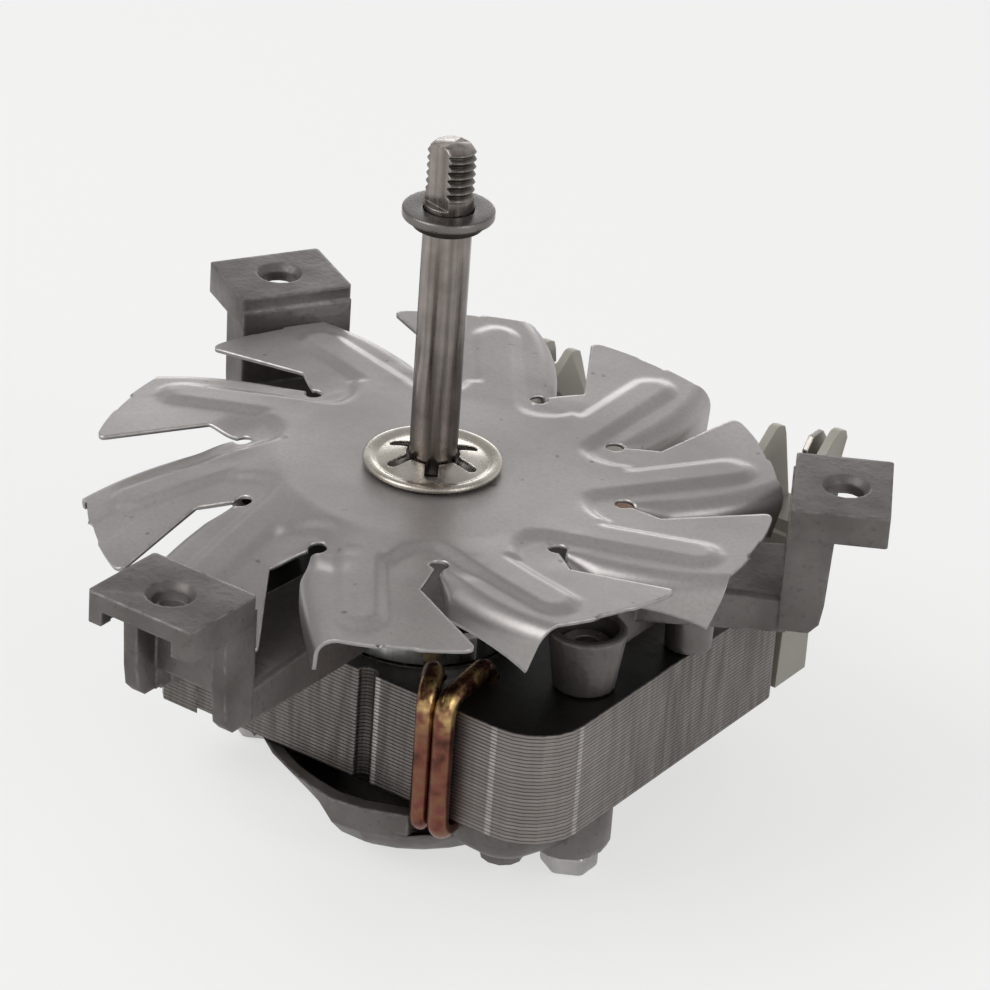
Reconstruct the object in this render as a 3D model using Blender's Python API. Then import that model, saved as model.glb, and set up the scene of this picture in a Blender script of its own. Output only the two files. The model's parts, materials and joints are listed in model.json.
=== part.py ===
"""Oven fan motor: a shaded-pole motor with a C-shaped stack, a pressed cooling impeller and cast brackets.

Units are metres. +Z runs up the shaft towards the oven fan. The origin is on the shaft axis, at the flat
underside of the lower bearing hub. +Y points from the shaft to the coil.
"""
import bmesh
import bpy
import numpy as np
from math import acos, asin, atan2, cos, hypot, pi, radians, sin, tan
from mathutils import Matrix, Vector

MM = 0.001

# Fits
SEAT_GAP = 0.3 * MM
RUNNING_GAP = 0.06 * MM
ROUND_SIDES = 24
EDGE_BREAK = 0.6 * MM
SMALL_EDGE = 0.3 * MM

# Levels, measured from the underside of the lower bearing hub
LOWER_BRACKET_DEPTH = 11.0 * MM
IMPELLER_RISE = 20.8 * MM
LUG_RISE = 24.7 * MM
TIP_RISE = 65.1 * MM
WASHER_DROP = 8.4 * MM

# Stator stack
SHEET = 0.5 * MM
SHEETS = 31
STACK_HALF_WIDTH = 30.5 * MM
STACK_FRONT = 15.6 * MM
STACK_BACK = 37.5 * MM
STACK_CORNER_R = 7.4 * MM
LIMB_CORNER_R = 2.0 * MM
WINDOW_CORNER_R = 1.0 * MM
STACK_CORNER_STEPS = 6
BORE_R = 13.0 * MM
WINDOW_HALF_WIDTH = 18.0 * MM
GROOVE_X = 3.1 * MM
GROOVE_R = 1.35 * MM
CLAMP_X = 24.7 * MM
CORE_BAR_WIDTH = 10.3 * MM

# Shading rings, each a loop of copper wire through a slot beside the bore
RING_WIRE_R = 1.35 * MM
RING_SLOT_R = 1.65 * MM
RING_SLOT_MOUTH = 1.0 * MM
RING_SLOTS = ((9.8 * MM, -10.8 * MM), (14.6 * MM, -6.2 * MM))
RING_OUTER_X = (11.7 * MM, 15.8 * MM)
RING_BEND_R = 2.2 * MM
RING_WIRE_SIDES = 8

# Coil
BOBBIN_WALL = 1.2 * MM
BOBBIN_FLANGE = 1.7 * MM
WINDING_DEPTH = 4.0 * MM
WINDING_CORNER_R = 4.5 * MM
FLANGE_LIP = 0.5 * MM
FLANGE_FOOT_Z = 0.3 * MM
FLANGE_CORNER_R = 2.0 * MM
FLANGE_BROW = 1.0 * MM
TUBE_CORNER_R = 0.8 * MM
WINDING_INNER_R = 1.0 * MM

# Terminal carrier on the bobbin
RAIL_LIFT = 0.1 * MM
RAIL_THICKNESS = 2.2 * MM
RAIL_BACK = 46.0 * MM
RAIL_FRONT = 39.2 * MM
RAIL_END_X = 30.6 * MM
SHELF_BACK = 51.4 * MM
SHROUD_WIDTH = 7.0 * MM
SHROUD_WALL = 1.2 * MM
SHROUD_DEPTH = 6.5 * MM
SHROUD_SLOPE = 3.2 * MM
LEFT_SHROUD = (-10.0 * MM, 44.6 * MM, 18.9 * MM)
RIGHT_SHROUD = (27.1 * MM, 39.0 * MM, 19.8 * MM)
SHROUD_PEAK_WIDTH = 2.5 * MM
SHROUD_ROUND = 1.6 * MM
SHROUD_ROOT = 0.3 * MM
SHELF_MARGIN = 0.4 * MM
SKIRT_Z = 11.2 * MM
SKIRT_GAP = 0.8 * MM
SKIRT_INSET = 0.4 * MM
TAB_WIDTH = 4.8 * MM
TAB_THICKNESS = 0.8 * MM
TAB_HEIGHT = 9.0 * MM
TAB_HOLE_R = 0.8 * MM

# Rotor
AIR_GAP = 0.4 * MM
CAGE_BARS = 17
CAGE_BAR_R = 0.9 * MM
CAGE_BAR_PITCH_R = 10.8 * MM
CAGE_RING_INNER_R = 9.2 * MM
CAGE_RING_TOP = 3.7 * MM
CAGE_RING_BOTTOM = 2.5 * MM
CAGE_SIDES = 34
CAGE_BAR_SIDES = 5
CAGE_BAR_ROOT = 0.8 * MM
CAGE_BAR_FIT = 0.39 * MM
CAGE_RING_INSET = 0.2 * MM
ROTOR_SIDES = 48

# Shaft and what is fixed to it
SHAFT_R = 3.0 * MM
SHAFT_FLATS = 4.4 * MM
SHAFT_CHAMFER = 0.7 * MM
FLATS_LIFT = 0.6 * MM
CIRCLIP_R = 4.4 * MM
CIRCLIP_THICKNESS = 0.8 * MM
CIRCLIP_GAP_ANGLE = radians(50)
GROOVE_DEPTH = 0.55 * MM
WASHER_R = 5.65 * MM
WASHER_THICKNESS = 1.2 * MM
WASHER_EDGE = 0.25 * MM
PLAIN_WASHER_SIDES = 16
CIRCLIP_STEPS = 20
SPACER_R = 4.5 * MM
THRUST_WASHER_R = 4.4 * MM
THRUST_WASHER_THICKNESS = 0.6 * MM
COLLAR_R = 5.0 * MM
COLLAR_FLANGE_R = 7.5 * MM
COLLAR_FLANGE = 1.2 * MM
COLLAR_HEIGHT = 3.1 * MM
PUSH_NUT_R = 8.7 * MM
PUSH_NUT_SHEET = 0.5 * MM
PUSH_NUT_RIM = 0.9 * MM
PUSH_NUT_CROWN = 1.3 * MM
PUSH_NUT_SLOTS = 6
PUSH_NUT_SLOT_WIDTH = 1.0 * MM
PUSH_NUT_SLOT_IN = 3.9 * MM
PUSH_NUT_SLOT_OUT = 6.6 * MM
PUSH_NUT_RIM_WIDTH = 1.7 * MM
PUSH_NUT_TOOTH_RISE = 0.2 * MM

# Cooling impeller, pressed from one disc
BLADES = 10
IMPELLER_R = 43.0 * MM
IMPELLER_SHEET = 0.5 * MM
IMPELLER_PHASE = radians(20.57)
SLOT_END_R = 24.5 * MM
SLOT_HOLE_R = 1.2 * MM
SLOT_NECK_R = 25.9 * MM
SLOT_NECK = 1.3 * MM
CUT_CORNER_R = 30.5 * MM
CUT_CORNER_ANGLE = radians(-2.5)
CUT_TIP_ANGLE = radians(8.0)
FOLD_TIP_ANGLE = radians(17.5)
FLANGE_ANGLE = radians(80)
FLANGE_BEND_SHARE = 0.32
FLANGE_LEAN = 0.5
EMBOSS_HEIGHT = 0.7 * MM
EMBOSS_SLOPE = 1.2 * MM
STAR_ARC_R = 5.2 * MM
RIB_ANGLE = radians(18.0)
RIB_HALF_WIDTH = 2.6 * MM
RIB_END_R = 38.4 * MM
BLADE_ROWS = 3
IMPELLER_CLEARANCE = 1.4 * MM

# Bearings, alike in both brackets
BUSH_SPHERE_R = 5.6 * MM
BUSH_HALF_HEIGHT = 2.5 * MM
POCKET_R = 8.0 * MM
FELT_HALF_HEIGHT = 1.8 * MM
RETAINER_THICKNESS = 0.6 * MM
RETAINER_BORE_R = 4.9 * MM
RETAINER_FINGERS = 6
RETAINER_CUT = 1.1 * MM
RETAINER_SIDES = 18
HUB_FLOOR = 1.3 * MM

# Upper bracket
UPPER_HUB_R = 11.0 * MM
UPPER_HUB_FOOT = 5.5 * MM
UPPER_HUB_HEIGHT = 11.0 * MM
UPPER_HUB_ROOF = 2.0 * MM
UPPER_BUSH_RISE = 11.0 * MM
UPPER_HUB_SIDES = 26
SHAFT_HOLE_R = 4.2 * MM
ARM_ANGLE = radians(30)
LUG_ANGLES = (-pi / 2, ARM_ANGLE, pi - ARM_ANGLE)
LUG_HALF_WIDTH = 7.7 * MM
LUG_HOLE_OFFSET = 6.6 * MM
LUG_HOLE_MARGIN = 5.7 * MM
LUG_HOLE_R = 2.3 * MM
LUG_COUNTERSINK_R = 3.1 * MM
LUG_PLATE = 2.2 * MM
LUG_CORNER_R = 0.5 * MM
LUG_HOLE_SIDES = 16
LUG_LIP_DEPTH = 4.1 * MM
LUG_LIP = 1.8 * MM
LEG_DEPTH = 5.9 * MM
LEG_WALL = 2.0 * MM
LEG_INSET = 0.1 * MM
LEG_TUCKS = ((0.0, 2.1 * MM), (1.3 * MM, 0.9 * MM), (4.0 * MM, 0.5 * MM))
LEG_FOOT_RISE = 7.8 * MM
ARM_TOP_RISE = 12.2 * MM
ARM_ROOT_FOOT_RISE = 5.8 * MM
ARM_TIP_FOOT_RISE = 7.4 * MM
ARM_ROOT_R = 9.7 * MM
ARM_ROOT_HALF_WIDTH = 5.2 * MM
ARM_WALL = 2.0 * MM
ARM_LEVEL_R = 23.0 * MM
ARM_MIDDLE_R = 36.0 * MM
ARM_SPREAD = 1.5
POST_TOP_RISE = 8.2 * MM
POST_TOP_R = 5.0 * MM
POST_BASE_R = 3.9 * MM
POST_CUP_R = 4.0 * MM
POST_FLOOR = 3.0 * MM
POST_WEB = 3.0 * MM
POST_WEB_FOOT_RISE = 3.6 * MM
POST_WEB_TOP_DROP = 0.8 * MM
POST_SIDES = 16
CUP_DRAFT = 0.4 * MM
ARM_FOOT_R = 3.0 * MM
ARM_FOOT_FLARE = 1.15
ARM_FOOT_PITCH_R = 33.5 * MM

# Lower bracket
BOWL_R = 20.8 * MM
BOWL_SIDES = 30
BOWL_WALL = 2.0 * MM
BOWL_SHOULDER_Z = 6.8 * MM
BOWL_CURVE = ((15.7 * MM, 2.0 * MM), (18.8 * MM, 4.2 * MM))
BOWL_RIM_GAP = 0.8 * MM
HUB_FLAT_R = 12.4 * MM
LOWER_POCKET_WALL = 1.8 * MM
LOWER_POCKET_TOP = 7.6 * MM
LOWER_BUSH_Z = 4.1 * MM
BOSS_R = 5.5 * MM
BOSS_FOOT_Z = 3.6 * MM
BOSS_ROUND = 1.3 * MM
BOSS_SIDES = 16
CLAMP_HOLE_SIDES = 14
BRIDGE_HALF_WIDTH = 10.0 * MM
BRIDGE_FOOT_Z = 5.4 * MM
PIP_X = 19.5 * MM
PIP_Y = -7.5 * MM
PIP_R = 2.8 * MM
PIP_SIDES = 12
PIP_CHAMFER = 0.8 * MM
PIP_FOOT_Z = 2.4 * MM
PIP_TOP_Z = 6.9 * MM
RING_NOTCH_CLEARANCE = 0.7 * MM
RING_NOTCH_BACK = -4.2 * MM
BRIDGE_ROOT = 0.6 * MM
BRIDGE_PAST_SCREW = 0.7 * MM
BRIDGE_TIP_INSET = 0.3 * MM

# Clamp screws
SCREW_R = 1.9 * MM
SCREW_HOLE_R = 2.3 * MM
SCREW_HEAD_R = 3.4 * MM
SCREW_HEAD = 2.5 * MM
SCREW_SOCKET_R = 1.5 * MM
SCREW_SOCKET_DEPTH = 1.4 * MM
SCREW_SIDES = 12
NUT_FLATS = 6.6 * MM
NUT_HEIGHT = 2.8 * MM

# Levels that follow
STACK_Z0 = LOWER_BRACKET_DEPTH
STACK_Z1 = STACK_Z0 + SHEETS * SHEET
IMPELLER_Z = STACK_Z1 + IMPELLER_RISE
LUG_Z = STACK_Z1 + LUG_RISE
TIP_Z = STACK_Z1 + TIP_RISE
WASHER_Z = TIP_Z - WASHER_DROP
ROTOR_R = BORE_R - AIR_GAP
UPPER_BUSH_Z = STACK_Z1 + UPPER_BUSH_RISE
IMPELLER_UNDERSIDE = IMPELLER_Z + EMBOSS_HEIGHT - IMPELLER_SHEET / 2
IMPELLER_TOPSIDE = IMPELLER_Z + EMBOSS_HEIGHT + IMPELLER_SHEET / 2
BAR_FRONT = STACK_BACK - CORE_BAR_WIDTH

# Radii that follow: the legs stand clear of the impeller, and each lug starts on its leg and ends past its hole
LEG_INNER_R = IMPELLER_R + IMPELLER_CLEARANCE
LEG_OUTER_R = LEG_INNER_R + LEG_DEPTH
LUG_INNER_R = LEG_INNER_R + 2 * LEG_INSET
LUG_HOLE_PITCH_R = LEG_INNER_R + LUG_HOLE_OFFSET
LUG_OUTER_R = LUG_HOLE_PITCH_R + LUG_HOLE_MARGIN
STAR_ROW_R = SLOT_END_R - STAR_ARC_R - EMBOSS_SLOPE / 2


def clear_scene():
    """Empty the scene of whatever objects it opened with."""
    for item in list(bpy.data.objects):
        bpy.data.objects.remove(item, do_unlink=True)


def material(name, colour, roughness, metallic):
    """Make a Principled material of one colour."""
    made = bpy.data.materials.new(name)
    made.use_nodes = True
    shader = made.node_tree.nodes["Principled BSDF"]
    shader.inputs["Base Color"].default_value = (*colour, 1.0)
    shader.inputs["Roughness"].default_value = roughness
    shader.inputs["Metallic"].default_value = metallic
    return made


def add_object(name, bm, surface=None, smooth_angle=radians(35)):
    """Turn a bmesh into a linked object, smooth except at its sharp edges."""
    bmesh.ops.recalc_face_normals(bm, faces=bm.faces)
    mesh = bpy.data.meshes.new(name)
    bm.to_mesh(mesh)
    bm.free()
    mesh.shade_smooth()
    mesh.set_sharp_from_angle(angle=smooth_angle)
    made = bpy.data.objects.new(name, mesh)
    bpy.context.scene.collection.objects.link(made)
    if surface:
        mesh.materials.append(surface)
    return made


def combine(target, operation, *tools):
    """Join tools to the target, or cut them from it, and keep them as wire guides."""
    for tool in tools:
        step = target.modifiers.new(tool.name, "BOOLEAN")
        step.operation = operation
        step.solver = "EXACT"
        step.object = tool
        tool.hide_render = True
        tool.display_type = "WIRE"
    return target


def circle(radius, sides, centre=(0.0, 0.0), start=0.0):
    """Points of a regular polygon, counter-clockwise."""
    angles = [start + 2 * pi * step / sides for step in range(sides)]
    return [(centre[0] + radius * cos(a), centre[1] + radius * sin(a)) for a in angles]


def arc(centre, radius, start, end, steps):
    """Points along an arc, both ends included."""
    angles = [start + (end - start) * step / steps for step in range(steps + 1)]
    return [(centre[0] + radius * cos(a), centre[1] + radius * sin(a)) for a in angles]


def filleted(corners, steps=4):
    """Outline through (x, y, radius) corners, each rounded to its own radius."""
    outline = []
    count = len(corners)
    for index, (x, y, radius) in enumerate(corners):
        here = Vector((x, y))
        before = (Vector(corners[index - 1][:2]) - here).normalized()
        after = (Vector(corners[(index + 1) % count][:2]) - here).normalized()
        if radius == 0:
            outline.append((x, y))
            continue
        half = acos(max(-1.0, min(1.0, before.dot(after)))) / 2
        centre = here + (before + after).normalized() * (radius / sin(half))
        first = here + before * (radius / tan(half)) - centre
        last = here + after * (radius / tan(half)) - centre
        start = atan2(first.y, first.x)
        sweep = (atan2(last.y, last.x) - start + pi) % (2 * pi) - pi
        outline += arc(centre, radius, start, start + sweep, steps)
    return outline


def box_outline(x0, x1, y0, y1, radius=0.0):
    """Rectangle, with its corners rounded if a radius is given."""
    return filleted([(x0, y0, radius), (x1, y0, radius), (x1, y1, radius), (x0, y1, radius)])


def prism(name, outline, z0, z1, surface=None, holes=(), place=Matrix()):
    """Extrude an outline with holes from z0 to z1, then move it by a matrix."""
    bm = bmesh.new()
    edges = []
    for loop in (outline, *holes):
        verts = [bm.verts.new((x, y, z0)) for x, y in loop]
        edges += [bm.edges.new((a, b)) for a, b in zip(verts, verts[1:] + verts[:1])]
    bmesh.ops.triangle_fill(bm, use_beauty=True, use_dissolve=False, edges=edges)
    grown = bmesh.ops.extrude_face_region(bm, geom=bm.faces[:])
    lifted = [item for item in grown["geom"] if isinstance(item, bmesh.types.BMVert)]
    bmesh.ops.translate(bm, verts=lifted, vec=(0, 0, z1 - z0))
    bmesh.ops.transform(bm, matrix=place, verts=bm.verts)
    return add_object(name, bm, surface)


def block(name, low, high, surface=None, place=Matrix()):
    """Box between two corners."""
    return prism(name, box_outline(low[0], high[0], low[1], high[1]), low[2], high[2], surface, place=place)


def turned(name, profile, surface=None, sides=ROUND_SIDES, place=Matrix()):
    """Spin a profile of (radius, z) points once round Z. One that starts on the axis isn't closed there."""
    bm = bmesh.new()
    verts = [bm.verts.new((radius, 0, z)) for radius, z in profile]
    edges = [bm.edges.new(pair) for pair in zip(verts, verts[1:])]
    if profile[0][0] > 0:
        edges.append(bm.edges.new((verts[-1], verts[0])))
    bmesh.ops.spin(bm, geom=verts + edges, cent=(0, 0, 0), axis=(0, 0, 1), angle=2 * pi, steps=sides,
                   use_merge=True)
    bmesh.ops.remove_doubles(bm, verts=bm.verts, dist=1e-7)
    bmesh.ops.transform(bm, matrix=place, verts=bm.verts)
    return add_object(name, bm, surface)


def loft(name, rings, surface=None, place=Matrix()):
    """Join rings of as many points each into one solid, with flat ends."""
    bm = bmesh.new()
    loops = [[bm.verts.new(point) for point in ring] for ring in rings]
    for lower, upper in zip(loops, loops[1:]):
        for index in range(len(lower)):
            bm.faces.new((lower[index - 1], lower[index], upper[index], upper[index - 1]))
    bm.faces.new(loops[0])
    bm.faces.new(loops[-1])
    bmesh.ops.transform(bm, matrix=place, verts=bm.verts)
    return add_object(name, bm, surface)


def washer(name, inner_r, outer_r, z0, z1, surface):
    """Flat ring."""
    section = [(inner_r, z0), (outer_r, z0), (outer_r, z1), (inner_r, z1)]
    return turned(name, section, surface, PLAIN_WASHER_SIDES)


def shift(x=0.0, y=0.0, z=0.0):
    """Matrix that moves by x, y and z."""
    return Matrix.Translation((x, y, z))


def turn(angle, axis="Z"):
    """Matrix that turns about one axis."""
    return Matrix.Rotation(angle, 4, axis)


def ring_slots():
    """Centres of the four shading slots: two at the front right, two diagonally opposite."""
    return [*RING_SLOTS, *((-x, -y) for x, y in RING_SLOTS)]


def bore_loop():
    """Bore outline with the four shading slots let into it, each through a narrow mouth."""
    loop = []
    slots = sorted((atan2(y, x), hypot(x, y)) for x, y in ring_slots())
    mouth = asin(RING_SLOT_MOUTH / 2 / BORE_R)
    for index, (angle, reach) in enumerate(slots):
        following = slots[(index + 1) % len(slots)][0] + (2 * pi if index + 1 == len(slots) else 0)
        neck = asin(RING_SLOT_MOUTH / 2 / RING_SLOT_R)
        centre = (reach * cos(angle), reach * sin(angle))
        loop += arc(centre, RING_SLOT_R, angle - pi + neck, angle + pi - neck, 9)
        steps = max(2, round((following - angle) / radians(9)))
        loop += arc((0, 0), BORE_R, angle + mouth, following - mouth, steps)
    return loop


def make_stack(steel):
    """C-shaped stack of pressed sheets: two limbs, an open window for the coil, and the bore."""
    limb_in, limb_out = WINDOW_HALF_WIDTH, STACK_HALF_WIDTH
    front = [(-limb_out, -STACK_FRONT, STACK_CORNER_R), (limb_out, -STACK_FRONT, STACK_CORNER_R)]
    right_limb = [(limb_out, STACK_BACK, LIMB_CORNER_R), (limb_in, STACK_BACK, 0),
                  (limb_in, STACK_FRONT, WINDOW_CORNER_R)]
    left_limb = [(-limb_in, STACK_FRONT, WINDOW_CORNER_R), (-limb_in, STACK_BACK, 0),
                 (-limb_out, STACK_BACK, LIMB_CORNER_R)]
    outline = filleted(front + right_limb + left_limb, STACK_CORNER_STEPS)
    after_corner = STACK_CORNER_STEPS + 1
    groove = arc((GROOVE_X, -STACK_FRONT), GROOVE_R, pi, 0, 6)
    outline[after_corner:after_corner] = groove
    holes = [bore_loop(), *(circle(SCREW_HOLE_R, 16, (side * CLAMP_X, 0)) for side in (-1, 1))]
    return prism("stator_stack", outline, STACK_Z0, STACK_Z1, steel, holes)


def make_core_bar(steel):
    """Straight stack of sheets that carries the coil and closes the C between its limbs."""
    reach = WINDOW_HALF_WIDTH - SEAT_GAP
    return block("coil_core", (-reach, BAR_FRONT, STACK_Z0), (reach, STACK_BACK, STACK_Z1), steel)


def make_shading_ring(name, slot, outer, copper):
    """Copper wire loop: down through its slot, under the stack, up the outer face and back over the top."""
    slot, outer = Vector((*slot, 0)), Vector((*outer, 0))
    span = (outer - slot).length
    along = (outer - slot).normalized()
    low = STACK_Z0 - SEAT_GAP - RING_WIRE_R
    high = STACK_Z1 + SEAT_GAP + RING_WIRE_R
    path = filleted([(x, z, RING_BEND_R) for x, z in ((0, low), (span, low), (span, high), (0, high))], 2)
    bm = bmesh.new()
    rings = []
    count = len(path)
    turns = [2 * pi * step / RING_WIRE_SIDES for step in range(RING_WIRE_SIDES)]
    for index, (x, z) in enumerate(path):
        before = Vector(path[index - 1])
        after = Vector(path[(index + 1) % count])
        tangent = (after - before).normalized()
        centre = slot + along * x + Vector((0, 0, z))
        outward = along * tangent.y - Vector((0, 0, tangent.x))
        across = along.cross(Vector((0, 0, 1)))
        spots = [centre + (outward * cos(a) + across * sin(a)) * RING_WIRE_R for a in turns]
        rings.append([bm.verts.new(spot) for spot in spots])
    for index in range(count):
        one, two = rings[index - 1], rings[index]
        for side in range(RING_WIRE_SIDES):
            bm.faces.new((one[side - 1], one[side], two[side], two[side - 1]))
    return add_object(name, bm, copper, radians(60))


def make_shading_rings(copper):
    """Two rings at the front right of the stack and their twins, turned half a turn."""
    face = STACK_FRONT + SEAT_GAP + RING_WIRE_R
    for sign, side in ((1, "front"), (-1, "back")):
        for number, (slot, outer_x) in enumerate(zip(RING_SLOTS, RING_OUTER_X), start=1):
            through = (sign * slot[0], sign * slot[1])
            beside = (sign * outer_x, -sign * face)
            make_shading_ring(f"shading_ring_{side}_{number}", through, beside, copper)


def across_x(x0):
    """Matrix that stands an outline drawn in (y, z) upright and starts its extrusion at x0."""
    return Matrix(((0, 0, 1, x0), (1, 0, 0, 0), (0, 1, 0, 0), (0, 0, 0, 1)))


def make_coil(nylon, wire):
    """Moulded bobbin on the core bar, its terminal carrier, and the winding between its flanges."""
    tube_gap = SEAT_GAP + BOBBIN_WALL
    half = WINDOW_HALF_WIDTH - 2 * SEAT_GAP
    inner = half - BOBBIN_FLANGE
    hole = box_outline(BAR_FRONT - SEAT_GAP, STACK_BACK + SEAT_GAP, STACK_Z0 - SEAT_GAP, STACK_Z1 + SEAT_GAP)
    tube = box_outline(BAR_FRONT - tube_gap, STACK_BACK + tube_gap,
                       STACK_Z0 - tube_gap, STACK_Z1 + tube_gap, TUBE_CORNER_R)
    wound = tube_gap + SEAT_GAP + WINDING_DEPTH
    front, back = BAR_FRONT - wound - FLANGE_LIP, STACK_BACK + wound + FLANGE_LIP
    top = STACK_Z1 + wound + FLANGE_LIP
    bobbin = prism("bobbin", tube, -half, half, nylon, [hole], across_x(0))
    flange = box_outline(front, back, FLANGE_FOOT_Z, top + FLANGE_BROW, FLANGE_CORNER_R)
    sides = [prism(f"flange_{number}", flange, 0, BOBBIN_FLANGE, None, [hole], across_x(x))
             for number, x in enumerate((-half, inner))]
    rail_z = top + RAIL_LIFT
    rail_top = rail_z + RAIL_THICKNESS
    rail = block("terminal_rail", (-half + 2 * RAIL_LIFT, RAIL_FRONT, rail_z),
                 (RAIL_END_X, RAIL_BACK, rail_top))
    shelf_reach = SHROUD_WIDTH / 2 + SHELF_MARGIN
    shelf = block("terminal_shelf", (LEFT_SHROUD[0] - shelf_reach, RAIL_BACK - MM, rail_z + 2 * RAIL_LIFT),
                  (LEFT_SHROUD[0] + shelf_reach, SHELF_BACK, rail_top - RAIL_LIFT))
    pieces = [*sides, rail, shelf, *make_shrouds(rail_z), make_skirt(rail_z)]
    combine(bobbin, "UNION", *pieces)
    gap = tube_gap + SEAT_GAP
    inside = box_outline(BAR_FRONT - gap, STACK_BACK + gap, STACK_Z0 - gap, STACK_Z1 + gap, WINDING_INNER_R)
    outside = box_outline(BAR_FRONT - wound, STACK_BACK + wound, STACK_Z0 - wound, STACK_Z1 + wound,
                          WINDING_CORNER_R)
    prism("coil_winding", outside, -inner + SEAT_GAP, inner - SEAT_GAP, wire, [inside], across_x(0))
    return rail_top


def make_shrouds(rail_z):
    """Pairs of guard walls beside each terminal, their tops sloping up to the back."""
    walls = []
    root = rail_z + SHROUD_ROOT
    for number, (centre, front, rise) in enumerate((LEFT_SHROUD, RIGHT_SHROUD)):
        back, peak = front + SHROUD_DEPTH, STACK_Z1 + rise
        outline = filleted([(front, root, 0), (back, root, 0), (back, peak, SHROUD_ROUND),
                            (back - SHROUD_PEAK_WIDTH, peak, 0.6 * SHROUD_ROUND),
                            (front, peak - SHROUD_SLOPE, 0.5 * SHROUD_ROUND)], 2)
        for side in (-1, 1):
            middle = centre + side * (SHROUD_WIDTH - SHROUD_WALL) / 2
            place = across_x(middle - SHROUD_WALL / 2)
            walls.append(prism(f"shroud_{number}_{side}", outline, 0, SHROUD_WALL, place=place))
    return walls


def make_skirt(rail_z):
    """Folded wall that hangs from the carrier behind the right limb of the stack."""
    right, left = RAIL_END_X, RAIL_END_X - SHROUD_WIDTH
    front, back, wall = STACK_BACK + SKIRT_GAP, RAIL_BACK - SKIRT_INSET, SHROUD_WALL
    outline = [(left, back), (left, front), (right, front), (right, back), (right - wall, back),
               (right - wall, front + wall), (left + wall, front + wall), (left + wall, back)]
    return prism("carrier_skirt", outline, SKIRT_Z, rail_z + 5 * RAIL_LIFT)


def make_terminals(brass, seat_z):
    """Flat tabs standing in the shrouds, narrowed at the tip."""
    for side, (centre, front, _) in (("left", LEFT_SHROUD), ("right", RIGHT_SHROUD)):
        middle = front + SHROUD_DEPTH / 2
        low, high = seat_z + SEAT_GAP, seat_z + SEAT_GAP + TAB_HEIGHT
        half, point = TAB_WIDTH / 2, TAB_WIDTH / 4
        outline = [(middle - half, low), (middle + half, low), (middle + half, high - point),
                   (middle + point, high), (middle - point, high), (middle - half, high - point)]
        hole = circle(TAB_HOLE_R, 8, (middle, high - half - MM))
        place = across_x(centre - TAB_THICKNESS / 2)
        prism(f"terminal_{side}", outline, 0, TAB_THICKNESS, brass, [hole], place)


def make_rotor(steel, aluminium):
    """Rotor core of pressed sheets, and the cage cast through it."""
    centres = circle(CAGE_BAR_PITCH_R, CAGE_BARS)
    bars = [circle(CAGE_BAR_R, CAGE_BAR_SIDES, spot, atan2(spot[1], spot[0])) for spot in centres]
    slots = [circle(CAGE_BAR_R + CAGE_BAR_FIT, CAGE_BAR_SIDES, spot, atan2(spot[1], spot[0]))
             for spot in centres]
    shaft_hole = circle(SHAFT_R + SEAT_GAP, ROUND_SIDES)
    prism("rotor_core", circle(ROTOR_R, ROTOR_SIDES), STACK_Z0, STACK_Z1, steel, [shaft_hole, *slots])
    inner, outer, edge = CAGE_RING_INNER_R, ROTOR_R - CAGE_RING_INSET, EDGE_BREAK
    top, bottom = STACK_Z1 + SEAT_GAP, STACK_Z0 - SEAT_GAP
    high, low = top + CAGE_RING_TOP, bottom - CAGE_RING_BOTTOM
    upper = [(inner, top), (outer, top), (outer, high - edge), (outer - edge, high), (inner, high)]
    lower = [(inner, low), (outer - edge, low), (outer, low + edge), (outer, bottom), (inner, bottom)]
    cage = turned("rotor_cage", upper, aluminium, CAGE_SIDES)
    lower_ring = turned("cage_lower_ring", lower, None, CAGE_SIDES)
    rods = [prism(f"cage_bar_{number}", bar, bottom - CAGE_BAR_ROOT, top + CAGE_BAR_ROOT)
            for number, bar in enumerate(bars)]
    combine(cage, "UNION", *rods, lower_ring)


def make_shaft(steel):
    """Ground shaft with a circlip groove, and two flats along its threaded end."""
    groove_top = WASHER_Z - WASHER_THICKNESS
    groove_low = groove_top - CIRCLIP_THICKNESS - 2 * SEAT_GAP
    neck = SHAFT_R - GROOVE_DEPTH
    foot = HUB_FLOOR + SEAT_GAP
    radius, end_r = SHAFT_R, SHAFT_R - SHAFT_CHAMFER
    profile = [(0, foot), (end_r, foot), (radius, foot + SHAFT_CHAMFER), (radius, groove_low),
               (neck, groove_low), (neck, groove_top), (radius, groove_top), (radius, TIP_Z - SHAFT_CHAMFER),
               (end_r, TIP_Z), (0, TIP_Z)]
    shaft = turned("shaft", profile, steel)
    low, high, reach = WASHER_Z + FLATS_LIFT, TIP_Z + MM, 2 * SHAFT_R
    near, far = (-reach, SHAFT_FLATS / 2, low), (reach, reach, high)
    flats = [block(f"flat_{side}", near, far, place=turn(side * pi)) for side in range(2)]
    combine(shaft, "DIFFERENCE", *flats)


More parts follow.
